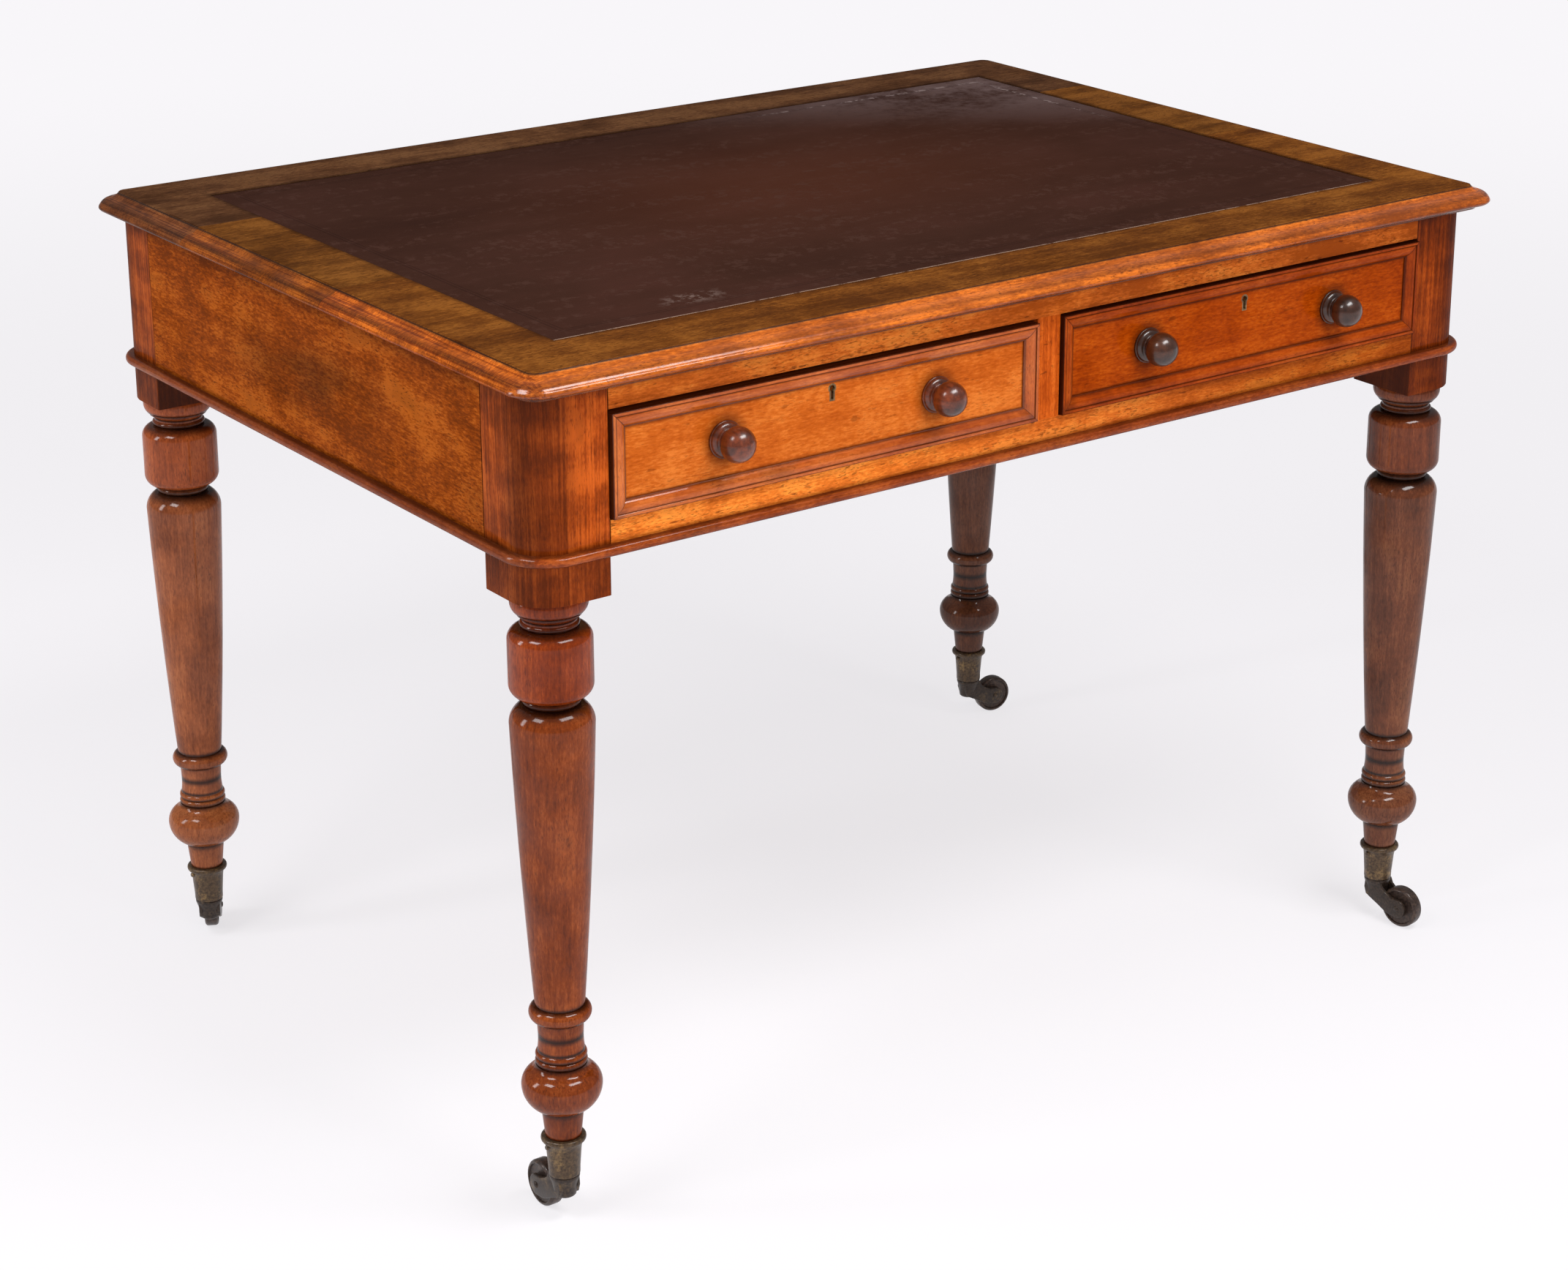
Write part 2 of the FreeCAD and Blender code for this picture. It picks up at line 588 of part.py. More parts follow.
def make_rails():
    front_rail("rail_front_bottom", ("frieze_z", "opening_z"), LOW_TENON_Z,
               ("opening_z - stub_tenon - mortise_spare", "opening_z + overrun"))
    front_rail("rail_front_top", ("opening_top_z", "under_top_z"), HIGH_TENON_Z,
               ("opening_top_z - overrun", "opening_top_z + stub_tenon + mortise_spare"))
    upright = box("MuntinFace", ("-muntin_width / 2", "muntin_width / 2"),
                  ("front_y", "front_y + front_rail_depth"), ("opening_z", "opening_top_z"))
    stubs = box("MuntinStubs", ("-tenon_thickness / 2", "tenon_thickness / 2"), FRONT_TENON_Y,
                ("opening_z - stub_tenon", "opening_top_z + stub_tenon"))
    node("muntin_front", fuse("MuntinFront", [upright, stubs]))
    back = [box("BackPanel", ("-post_in_x", "post_in_x"), ("back_y - panel_thickness", "back_y"),
                ("frieze_z", "under_top_z")),
            box("BackTenons", ("-post_in_x - tenon_length", "post_in_x + tenon_length"), BACK_TENON_Y,
                PANEL_TENON_Z)]
    node("rail_back", fuse("RailBack", back))
    side = [box("SidePanel", ("frame_half_x - panel_thickness", "frame_half_x"),
                ("post_in_front_y", "post_in_back_y"), ("frieze_z", "under_top_z")),
            box("SideTenons", SIDE_TENON_X, (SIDE_TENON_FRONT_Y[0], SIDE_TENON_BACK_Y[1]), PANEL_TENON_Z)]
    right = node("rail_side_right", fuse("RailSideRight", side))
    node("rail_side_left", mirrored("RailSideLeft", right))


# The bead round the bottom of the frieze, mitred at the middle of each corner

def make_bead():
    at = ("0", "frame_y", "frieze_z")
    flat = "(bead_projection - bead_height / 2)"
    section = [(f"-{flat}", "0", -0.9), (f"-{flat}", "bead_height", 0), ("0", "bead_height", 0), ("0", "0", 0)]
    ring = run_round("BeadRing", rounded_outline("frame_half_x", "frame_half_y", "post_round"), section,
                     FLAT, FRONT_PROFILE, at, ("0", "-frame_half_y", "0"), "Round corner")
    turn_x, turn_y = "(frame_half_x - post_round)", "(frame_half_y - post_round)"
    reach = "(post_round + bead_projection + overrun)"
    wedges = {}
    for end in ("front", "back"):
        wedge = doc.addObject("Part::Wedge", f"BeadMitre_{end}")
        wide, narrow = f"{turn_x} + {reach}", turn_x
        first, last = (wide, narrow) if end == "front" else (narrow, wide)
        low_y = f"-{turn_y} - {reach}" if end == "front" else turn_y
        values = {
            "Xmin": f"-({first})", "Xmax": first, "X2min": f"-({last})", "X2max": last,
            "Ymin": "0", "Ymax": reach,
            "Zmin": "-overrun", "Zmax": "bead_height + overrun",
            "Z2min": "-overrun", "Z2max": "bead_height + overrun",
        }
        for prop, text in values.items():
            wedge.setExpression(prop, full(text))
        place(wedge, at, ("0", low_y, "0"))
        wedges[end] = wedge
        node(f"bead_{end}", common(f"Bead_{end}", ring, wedge))
    right_half = box("BeadRightHalf", ("0", f"{turn_x} + {reach}"),
                     (f"-{turn_y} - {reach}", f"{turn_y} + {reach}"),
                     ("-overrun", "bead_height + overrun"), at)
    right = cut("Bead_right", common("BeadRightPart", ring, right_half), list(wedges.values()))
    node("bead_right", right)
    node("bead_left", mirrored("Bead_left", right))


# Runners below the drawers, kickers above them, guides beside them, stops behind the fronts

RUN_Y = ("front_y + front_rail_depth", "back_y - panel_thickness")


def make_drawer_supports():
    under = ("opening_z - runner_thickness", "opening_z")
    above = ("opening_top_z", "opening_top_z + runner_thickness")
    outer_x = ("post_in_x - runner_width", "post_in_x")
    centre = "(muntin_width / 2 + runner_width)"
    beside_z = ("opening_z - runner_thickness", "opening_z + guide_height")
    right_runner = fuse("RunnerRight", [
        box("RunnerRightBar", outer_x, RUN_Y, under),
        box("RunnerRightGuide", ("post_in_x", "frame_half_x - panel_thickness"),
            ("post_in_front_y", "post_in_back_y"), beside_z),
    ])
    node("drawer_runner_right", right_runner)
    node("drawer_runner_left", mirrored("RunnerLeft", right_runner))
    node("drawer_runner_centre", fuse("RunnerCentre", [
        box("RunnerCentreBar", (f"-{centre}", centre), RUN_Y, under),
        box("RunnerCentreGuide", ("-muntin_width / 2", "muntin_width / 2"), RUN_Y, beside_z),
    ]))
    right_kicker = node("drawer_kicker_right", box("KickerRight", outer_x, RUN_Y, above))
    node("drawer_kicker_left", mirrored("KickerLeft", right_kicker))
    node("drawer_kicker_centre", box("KickerCentre", (f"-{centre}", centre), RUN_Y, above))
    behind = "(front_y + field_setback + front_thickness + stop_gap)"
    stops = []
    for place_x in ("-drawer_x - stop_offset", "-drawer_x + stop_offset", "drawer_x - stop_offset",
                    "drawer_x + stop_offset"):
        stops.append(box(f"Stop{len(stops) + 1}", (f"{place_x} - stop_length / 2", f"{place_x} + stop_length / 2"),
                         (behind, f"{behind} + stop_width"), ("opening_z", "opening_z + stop_height")))
    node("drawer_stops", group("DrawerStops", stops))


def make_glue_blocks():
    """Blocks in the angle between the top and the side and back rails."""
    blocks = []
    z = ("under_top_z - block_side", "under_top_z")
    inner_x = "frame_half_x - panel_thickness"
    for side in (-1, 1):
        for step in (-1, 0, 1):
            middle = f"frame_y + {step} * block_spread_y"
            x = (f"{inner_x} - block_side", inner_x) if side > 0 else (f"-({inner_x})", f"block_side - ({inner_x})")
            blocks.append(box(f"Block{len(blocks) + 1}", x,
                              (f"{middle} - block_length / 2", f"{middle} + block_length / 2"), z))
    back = "back_y - panel_thickness"
    for step in (-1, 1):
        middle = f"{step} * block_spread_x"
        blocks.append(box(f"Block{len(blocks) + 1}", (f"{middle} - block_length / 2", f"{middle} + block_length / 2"),
                          (f"{back} - block_side", back), z))
    node("glue_blocks", group("GlueBlocks", blocks))


# The drawers, each measured from the middle of its opening's lower edge at its field

def keyhole(name, rim, depth, at):
    """The outline of a keyhole, widened by rim, as a solid of the given depth."""
    eye = "drawer_opening - key_drop"
    round_part = rod(f"{name}_eye", f"key_eye_radius + {rim}", depth, ("0", "0", eye), "Y", at)
    slot = box(f"{name}_slot", (f"-key_slot_width / 2 - {rim}", f"key_slot_width / 2 + {rim}"), ("0", depth),
               (f"{eye} - key_slot_length - {rim}", eye), at)
    return fuse(name, [round_part, slot])


def front_moulding(side, z, at):
    """Four mitred strips round a drawer front, in one group."""
    low, high = z
    middle = f"(({low}) + ({high})) / 2"
    half_z = f"(({high}) - ({low})) / 2"
    outline = [("0", f"-{half_z}", 0), ("drawer_half", f"-{half_z}", 0), ("drawer_half", half_z, 0),
               ("-drawer_half", half_z, 0), ("-drawer_half", f"-{half_z}", 0)]
    section = [
        ("0", "0", 0),
        ("moulding_width", "0", 0),
        ("moulding_width", "moulding_toe", 0),
        ("moulding_width - moulding_toe_width", "moulding_toe", 0.36),
        ("moulding_flat", "moulding_projection - moulding_quirk", 0),
        ("moulding_flat", "moulding_projection", 0),
        ("0", "moulding_projection", 0),
    ]
    upright = Rotation(Vector(1, 0, 0), Vector(0, 0, 1), Vector(0, -1, 0))
    # in the profile, x runs up from the front's lower edge and y out of its face
    outward = Rotation(Vector(0, 0, 1), Vector(0, -1, 0), Vector(1, 0, 0))
    centre = (at[0], at[1], f"({at[2]}) + {middle}")
    frame = run_round(f"Moulding_{side}", outline, section, upright, outward, centre,
                      ("0", "0", f"-{half_z}"), "Right corner")
    strips = []
    wedges = []
    reach = "(moulding_width + overrun)"
    for edge, turn in (("low", Rotation(Vector(1, 0, 0), 90)), ("high", Rotation(Vector(1, 0, 0), -90))):
        wedge = doc.addObject("Part::Wedge", f"MouldingMitre_{side}_{edge}")
        wedge.Placement = Placement(Vector(), turn)
        wide, narrow = "drawer_half", f"drawer_half - {reach}"
        values = {
            "Xmin": f"-({wide})", "Xmax": wide, "X2min": f"-({narrow})", "X2max": narrow,
            "Ymin": "0", "Ymax": reach,
            "Zmin": "-moulding_projection - overrun", "Zmax": "moulding_projection + overrun",
            "Z2min": "-moulding_projection - overrun", "Z2max": "moulding_projection + overrun",
        }
        for prop, text in values.items():
            wedge.setExpression(prop, full(text))
        place(wedge, centre, ("0", "0", f"-{half_z}" if edge == "low" else half_z))
        wedges.append(wedge)
        strips.append(common(f"MouldingStrip_{side}_{edge}", frame, wedge))
    strips.append(cut(f"MouldingStrips_{side}_upright", frame, wedges))
    node(f"drawer_{side}_moulding", group(f"MouldingStrips_{side}", strips))


def make_drawer(side, sign, top_gap):
    at = (f"{sign} * drawer_x", "front_y + field_setback", "opening_z")
    z = ("drawer_low_gap", f"drawer_opening - {top_gap}")
    inner = "(drawer_half - side_thickness)"
    groove_z = ("drawer_run_gap + bottom_raise", "drawer_run_gap + bottom_raise + bottom_thickness")
    groove = (f"{groove_z[0]} - groove_fit", f"{groove_z[1]} + groove_fit")
    side_z = ("drawer_run_gap", "drawer_opening - left_top_gap - side_drop")

    # the lock, let into the back of the front from above
    lock_top = z[1]
    case = box(f"LockCase_{side}", ("-lock_width / 2", "lock_width / 2"),
               ("front_thickness - lock_depth", "front_thickness"),
               (f"{lock_top} - lock_plate - lock_height", f"{lock_top} - lock_plate"), at)
    plate = box(f"LockPlate_{side}", ("-lock_plate_width / 2", "lock_plate_width / 2"),
                ("front_thickness - lock_plate_depth", "front_thickness"),
                (f"{lock_top} - lock_plate", lock_top), at)
    pin = rod(f"LockPin_{side}", "key_pin_radius", "front_thickness - lock_depth - escutcheon_depth",
              ("0", "escutcheon_depth", "drawer_opening - key_drop"), "Y", at)
    node(f"drawer_{side}_lock", fuse(f"Lock_{side}", [case, plate, pin]))

    liner = cut(f"Escutcheon_{side}", keyhole(f"KeyLiner_{side}", "escutcheon_rim", "escutcheon_depth", at),
                [keyhole(f"KeyClear_{side}", "0", "escutcheon_depth", at)])
    node(f"drawer_{side}_escutcheon", liner)

    case_hole = box(f"LockHole_{side}", ("-lock_width / 2 - lock_fit", "lock_width / 2 + lock_fit"),
                    ("front_thickness - lock_depth - lock_fit", "front_thickness + overrun"),
                    (f"{lock_top} - lock_plate - lock_height - lock_fit", f"{lock_top} + overrun"), at)
    plate_hole = box(f"PlateHole_{side}", ("-lock_plate_width / 2 - lock_fit", "lock_plate_width / 2 + lock_fit"),
                     ("front_thickness - lock_plate_depth - lock_fit", "front_thickness + overrun"),
                     (f"{lock_top} - lock_plate", f"{lock_top} + overrun"), at)
    holes = [
        case_hole,
        plate_hole,
        keyhole(f"LinerHole_{side}", "escutcheon_rim", "escutcheon_depth", at),
        keyhole(f"KeyHole_{side}", "0", "front_thickness", at),
        box(f"FrontGroove_{side}", (f"-{inner}", inner),
            ("front_thickness - groove_depth", "front_thickness + overrun"), groove, at),
    ]
    for hand in (-1, 1):
        lap = ("drawer_half - side_thickness", "drawer_half + overrun")
        x = lap if hand > 0 else (f"-({lap[1]})", f"-({lap[0]})")
        holes.append(box(f"FrontLap_{side}_{hand > 0}", x, ("front_lap", "front_thickness + overrun"),
                         ("-overrun", "drawer_opening + overrun"), at))
        holes.append(rod(f"SpigotHole_{side}_{hand > 0}", "knob_spigot_low + spigot_fit", "front_thickness",
                         (KNOB_PLACES[side, hand][0], "0", KNOB_PLACES[side, hand][1]), "Y", at))
    board = box(f"FrontBoard_{side}", ("-drawer_half", "drawer_half"), ("0", "front_thickness"), z, at)
    node(f"drawer_{side}_front", cut(f"Front_{side}", board, holes))
    front_moulding(side, z, at)

    for hand, word in ((-1, "left"), (1, "right")):
        outer = (inner, "drawer_half") if hand > 0 else ("-drawer_half", f"-{inner}")
        channel = (f"{inner} - overrun", f"{inner} + groove_depth")
        channel = channel if hand > 0 else (f"-({channel[1]})", f"-({channel[0]})")
        plank = box(f"SidePlank_{side}_{word}", outer, ("front_lap", "drawer_depth"), side_z, at)
        slot = box(f"SideGroove_{side}_{word}", channel, ("front_lap - overrun", "drawer_depth + overrun"), groove, at)
        node(f"drawer_{side}_side_{word}", cut(f"Side_{side}_{word}", plank, [slot]))
        knob = turned(f"Knob_{side}_{word}", KNOB_TURNING)
        knob.Placement = Placement(Vector(), Rotation(Vector(1, 0, 0), 90))
        place(knob, at, (KNOB_PLACES[side, hand][0], "knob_spigot_length", KNOB_PLACES[side, hand][1]))
        node(f"drawer_{side}_knob_{word}", knob)
    node(f"drawer_{side}_back", box(f"Back_{side}", (f"-{inner}", inner),
                                    ("drawer_depth - side_thickness", "drawer_depth"),
                                    (groove_z[1], f"{side_z[1]} - back_drop"), at))
    reach = f"({inner} + groove_depth - groove_fit)"
    node(f"drawer_{side}_bottom", box(f"Bottom_{side}", (f"-{reach}", reach),
                                      ("front_thickness - groove_depth + groove_fit", "drawer_depth"), groove_z, at))


# The castors: a cup on the foot, a horn that swivels under it and a wheel in the horn

def make_cup(corner, x, y, screws):
    at = (x, y, "0")
    outer = cone(f"CupBody_{corner}", "foot_end_low + cup_wall", "foot_end_high + cup_wall",
                 "cup_floor + foot_end_length", ("0", "0", "cup_level"), at)
    ring = doc.addObject("Part::Torus", f"CupRing_{corner}")
    ring.setExpression("Radius1", full("foot_end_high + cup_wall - cup_ring / 3"))
    ring.setExpression("Radius2", full("cup_ring"))
    place(ring, at, ("0", "0", "mouth_z - cup_ring"))
    hollow = cone(f"CupHollow_{corner}", "foot_end_low + cup_fit", "foot_end_high + cup_fit", "foot_end_length",
                  ("0", "0", "foot_z"), at)
    bore = rod(f"CupBore_{corner}", "pintle_radius + axle_fit", "cup_floor + 2 * overrun",
               ("0", "0", "cup_level - overrun"), "Z", at)
    cup = cut(f"Cup_{corner}", fuse(f"CupBlank_{corner}", [outer, ring]), [hollow, bore] + screws)
    node(f"castor_cup_{corner}", cup)


def make_horn(corner):
    """A horn with its swivel axis on Z and its wheel towards X, turned and set under its leg."""
    top = "(cup_level - swivel_gap)"
    inner = "(wheel_width / 2 + wheel_side_gap)"
    outer = f"({inner} + cheek_thickness)"
    parts = [
        cone(f"HornNeck_{corner}", "horn_low_radius", "horn_high_radius", f"{top} - horn_low_level",
             ("0", "0", "horn_low_level")),
        rod(f"HornPintle_{corner}", "pintle_radius", "pintle_length", ("0", "0", top)),
    ]
    for hand, low, high in (("a", f"-{outer}", f"-{inner}"), ("b", inner, outer)):
        parts.append(rod(f"HornBoss_{corner}_{hand}", "cheek_radius", "cheek_thickness",
                         ("castor_trail", low, "wheel_radius"), "Y"))
        strap = doc.addObject("Part::Wedge", f"HornStrap_{corner}_{hand}")
        strap.Placement = Placement(Vector(), Rotation(Vector(0, 0, 1), -90))
        values = {
            "Xmin": f"-({high})", "Xmax": f"-({low})", "X2min": f"-({high})", "X2max": f"-({low})",
            "Ymin": "0", "Ymax": "castor_trail",
            "Zmin": "horn_low_level", "Zmax": f"{top} - swivel_gap",
            "Z2min": "wheel_radius - cheek_radius", "Z2max": "wheel_radius + cheek_radius",
        }
        for prop, text in values.items():
            strap.setExpression(prop, full(text))
        parts.append(strap)
    room = rod(f"WheelRoom_{corner}", "wheel_radius + wheel_tread_gap", f"2 * {inner}",
               ("castor_trail", f"-{inner}", "wheel_radius"), "Y")
    axle = rod(f"HornAxle_{corner}", "axle_radius", f"2 * {outer}", ("castor_trail", f"-{outer}", "wheel_radius"), "Y")
    return fuse(f"Horn_{corner}", [cut(f"HornFork_{corner}", fuse(f"HornBlank_{corner}", parts), [room]), axle])


def make_wheel(corner):
    at = ("castor_trail", "0", "wheel_radius")
    half = "(wheel_width / 2)"
    drum = rod(f"WheelDrum_{corner}", "wheel_radius - wheel_round", "wheel_width", ("0", f"-{half}", "0"), "Y", at)
    tread = rod(f"WheelTread_{corner}", "wheel_radius", "wheel_width - 2 * wheel_round",
                ("0", f"wheel_round - {half}", "0"), "Y", at)
    parts = [drum, tread]
    for hand, sign in (("a", -1), ("b", 1)):
        edge = doc.addObject("Part::Torus", f"WheelEdge_{corner}_{hand}")
        edge.Placement = Placement(Vector(), TURNED_AXES["Y"])
        edge.setExpression("Radius1", full("wheel_radius - wheel_round"))
        edge.setExpression("Radius2", full("wheel_round"))
        parts.append(place(edge, at, ("0", f"{sign} * ({half} - wheel_round)", "0")))
    bore = rod(f"WheelBore_{corner}", "axle_radius + axle_fit", "wheel_width + 2 * overrun",
               ("0", f"-{half} - overrun", "0"), "Y", at)
    return cut(f"Wheel_{corner}", fuse(f"WheelBlank_{corner}", parts), [bore])


def make_castors(screws):
    for corner, x, y in castor_corners():
        make_cup(corner, x, y, screws[corner])
        for label, piece in (("castor_horn", make_horn(corner)), ("castor_wheel", make_wheel(corner))):
            piece.Placement = Placement(Vector(), Rotation(Vector(0, 0, 1), TRAIL_ANGLES[corner]))
            place(piece, (x, y, "0"))
            node(f"{label}_{corner}", piece)


def check_and_write():
    doc.recompute()
    for thing in doc.Objects:
        if {"Invalid", "Error"} & set(thing.State):
            raise RuntimeError(f"{thing.Name} failed: {thing.State}")
    labels = [piece.Label for piece in nodes]
    if len(set(labels)) != len(labels):
        raise RuntimeError("two pieces share a name")
    for piece in nodes:
        if piece.Shape.isNull() or not piece.Shape.isValid() or not piece.Shape.Solids:
            raise RuntimeError(f"{piece.Label} has no sound solid")
    os.makedirs("parts", exist_ok=True)
    for piece in nodes:
        piece.Shape.exportStep(f"parts/{piece.Label}.step")
    print(f"{len(nodes)} nodes, overall height {number('surface_z'):.1f} mm")


make_top()
castor_screws = make_castor_screws()
for leg_end in ("front", "rear"):
    make_leg(leg_end, castor_screws)
make_rails()
make_bead()
make_drawer_supports()
make_glue_blocks()
make_drawer("left", -1, "left_top_gap")
make_drawer("right", 1, "right_top_gap")
make_castors(castor_screws)
check_and_write()
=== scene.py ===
import math
import bmesh
import bpy
from mathutils import Matrix, Vector, noise


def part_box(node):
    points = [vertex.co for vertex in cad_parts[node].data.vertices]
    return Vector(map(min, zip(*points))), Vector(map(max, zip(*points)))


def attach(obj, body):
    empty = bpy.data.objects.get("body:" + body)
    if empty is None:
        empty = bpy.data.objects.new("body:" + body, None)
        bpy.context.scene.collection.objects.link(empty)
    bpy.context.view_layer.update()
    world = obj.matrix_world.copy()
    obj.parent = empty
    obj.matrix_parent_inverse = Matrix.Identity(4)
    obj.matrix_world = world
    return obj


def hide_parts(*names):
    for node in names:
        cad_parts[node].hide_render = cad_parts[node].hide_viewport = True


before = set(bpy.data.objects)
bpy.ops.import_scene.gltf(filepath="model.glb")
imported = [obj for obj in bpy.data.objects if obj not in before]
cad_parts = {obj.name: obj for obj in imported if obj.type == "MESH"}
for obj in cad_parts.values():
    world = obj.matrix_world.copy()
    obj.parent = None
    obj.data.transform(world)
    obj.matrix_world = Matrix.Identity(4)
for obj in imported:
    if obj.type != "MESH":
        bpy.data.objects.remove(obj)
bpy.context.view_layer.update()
scene = bpy.context.scene
scene.view_settings.view_transform = "Standard"

# The legs: each is one length of mahogany, square above with its outer corner rounded to a quarter circle,
# and turned below in rings, a barrel, a tapered shaft and a bulb. It was stained, then polished with shellac.
# Rows of the turning, from the foot, in millimetres: length, radius at the bottom and at the top, and bow,
# the arc's rise as a share of half its chord. None carries on from the row below.
LEG_ROWS = [
    (30.2, 11.1, 14.9, 0), (0.2, 14.9, 15.2, 0), (24.8, 15.3, 17.9, 0), (0.2, 17.9, 18.4, 0),
    (23.3, 18.6, 34, 0.3), (13.2, None, 26.5, 0.26), (5.8, None, 21.5, -0.2), (0.3, None, 20.6, 0),
    (5.7, None, 20.3, 0.5), (6, None, 20, 0.5), (15, None, 19, -0.05), (13.6, None, 19.6, 0),
    (0.4, None, 22.4, 0), (13, None, 22.4, 0.6), (0.3, None, 20.9, 0), (252, None, 34.9, 0.01),
    (15.3, None, 25.5, 0.26), (0.4, None, 22, 0), (6.2, None, 22, 0.6), (0.4, None, 24, 0),
    (11.2, None, 34.6, 0.39), (38, None, 34.6, 0), (10.4, None, 24.5, 0.4), (0.3, None, 22.5, 0),
    (5.2, None, 22.5, 0.7), (5.6, None, 26.5, -0.35), (2, None, 26.5, 0), (0.4, None, 28.5, 0),
    (14, None, 30, 0.35),
]
MM = 0.001
TURNING_STEPS = 96
POST_ROUND = 0.034
POST_SOFT = 0.0007
POST_CORNER_STEPS = 24
SIDES = {"left": -1, "right": 1}
ENDS = {"front": -1, "rear": 1}
CORNERS = [(end, side) for end in ENDS for side in SIDES]
QUARTERS = [(1, 1), (-1, 1), (-1, -1), (1, -1)]
POST_LOW, POST_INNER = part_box("leg_front_left")
_, POST_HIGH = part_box("leg_rear_right")
FRAME_MIDDLE = (POST_LOW + POST_HIGH) / 2
FRAME_HALF = (POST_HIGH - POST_LOW) / 2
SEAM_X = FRAME_MIDDLE.x - POST_INNER.x
SEAM_Y = FRAME_MIDDLE.y - POST_INNER.y
FOOT_BOTTOM = POST_LOW.z
FRIEZE_TOP = POST_HIGH.z
FRIEZE_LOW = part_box("rail_front_bottom")[0].z
BEAD_LOW, BEAD_TOP = (corner.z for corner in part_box("bead_front"))


def bowed(start, stop, share, steps):
    """Points from start to before stop along an arc that rises by share of half its chord."""
    if not share:
        return [start]
    run, rise = stop[0] - start[0], stop[1] - start[1]
    chord = math.hypot(run, rise)
    half_angle = 2 * math.atan(abs(share))
    radius = chord / 2 / math.sin(half_angle)
    points = []
    for step in range(steps):
        angle = half_angle * (2 * step / steps - 1)
        along = chord / 2 + radius * math.sin(angle)
        out = math.copysign(radius * (math.cos(angle) - math.cos(half_angle)), share)
        points.append((start[0] + (run * along + rise * out) / chord,
                       start[1] + (rise * along - run * out) / chord))
    return points


def turned_outline(rows, steps=12):
    """Radius and height along a turned piece, from its bottom, in millimetres."""
    points = []
    radius = rows[0][1]
    height = 0.0
    for length, low, high, bow in rows:
        start = (radius if low is None else low, height)
        height += length
        radius = high
        points += bowed(start, (radius, height), bow, steps)
    points.append((radius, height))
    return points


def written(work, mesh):
    """Writes a worked mesh into mesh, with every face turned outwards."""
    bmesh.ops.recalc_face_normals(work, faces=work.faces)
    work.to_mesh(mesh)
    work.free()
    return mesh


def grid_mesh(name, rings, closed=True):
    """A mesh over rings of points of equal number, each joined to the next, with the end rings filled."""
    count = len(rings[0])
    points = [point for ring in rings for point in ring]
    faces = []
    for ring in range(len(rings) - 1):
        for i in range(count if closed else count - 1):
            j = (i + 1) % count
            faces.append((ring * count + i, ring * count + j, (ring + 1) * count + j, (ring + 1) * count + i))
    if closed:
        faces.append(tuple(range(count)))
        faces.append(tuple(range((len(rings) - 1) * count, len(rings) * count)))
    mesh = bpy.data.meshes.new(name)
    mesh.from_pydata(points, [], faces)
    work = bmesh.new()
    work.from_mesh(mesh)
    return written(work, mesh)


def lathe(name, outline, axis_point, turn=Matrix.Identity(3), steps=TURNING_STEPS):
    """A solid turned from (radius, height) points in millimetres, set on axis_point."""
    rings = []
    for radius, height in outline:
        ring = []
        for step in range(steps):
            angle = 2 * math.pi * step / steps
            point = Vector((radius * math.cos(angle), radius * math.sin(angle), height)) * MM
            ring.append(tuple(axis_point + turn @ point))
        rings.append(ring)
    return grid_mesh(name, rings)


def joined(name, meshes):
    """Several closed meshes as one, each with its own number of material."""
    work = bmesh.new()
    for number, mesh in enumerate(meshes):
        start = len(work.faces)
        work.from_mesh(mesh)
        work.faces.ensure_lookup_table()
        for face in work.faces[start:]:
            face.material_index = number
        bpy.data.meshes.remove(mesh)
    mesh = bpy.data.meshes.new(name)
    work.to_mesh(mesh)
    work.free()
    return mesh


def rounded_ring(middle, half_x, half_y, radii, height, steps):
    """Points round a rectangle at one height, with corners of these radii in the order of QUARTERS."""
    points = []
    for turn, ((side_x, side_y), radius) in enumerate(zip(QUARTERS, radii)):
        for step in range(steps + 1):
            angle = math.pi / 2 * (turn + step / steps)
            points.append((middle[0] + side_x * (half_x - radius) + radius * math.cos(angle),
                           middle[1] + side_y * (half_y - radius) + radius * math.sin(angle), height))
    return points


def post_mesh(name, low, high, outer_corner, bottom):
    """The square upper part of a leg, rounded at its outer corner and softened at its other edges."""
    middle = ((low.x + high.x) / 2, (low.y + high.y) / 2)
    half = (high.x - low.x) / 2
    rings = []
    soft = POST_SOFT
    for inset, height in ((soft, bottom), (soft * 0.3, bottom + soft * 0.3), (0, bottom + soft), (0, high.z)):
        radii = [(POST_ROUND if corner == outer_corner else soft * 1.5) - inset * 0.5 for corner in QUARTERS]
        rings.append(rounded_ring(middle, half - inset, half - inset, radii, height, POST_CORNER_STEPS))
    return grid_mesh(name, rings)


def finished(mesh, materials, body, node, sharp):
    """Puts a mesh into the scene as a piece that rides on body and stands for a CAD node. Edges that turn by
    more than sharp degrees stay sharp."""
    mesh.shade_smooth()
    mesh.set_sharp_from_angle(angle=math.radians(sharp))
    piece = bpy.data.objects.new(mesh.name, mesh)
    scene.collection.objects.link(piece)
    for material in materials:
        mesh.materials.append(material)
    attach(piece, body)
    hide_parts(node)


def paint(red, green, blue):
    """A colour as it is seen on a screen, 0 to 255, in the light values that a shader wants."""
    levels = [channel / 255 for channel in (red, green, blue)]
    return (*[s / 12.92 if s < 0.04045 else ((s + 0.055) / 1.055) ** 2.4 for s in levels], 1.0)


def paints(*colors):
    return [paint(*color) for color in colors]


# The turn that brings a board's length onto X, for grain that runs along X, Y or Z.
GRAIN_TURNS = {"X": (0, 0, 0), "Y": (0, 0, -math.pi / 2), "Z": (0, math.pi / 2, 0)}


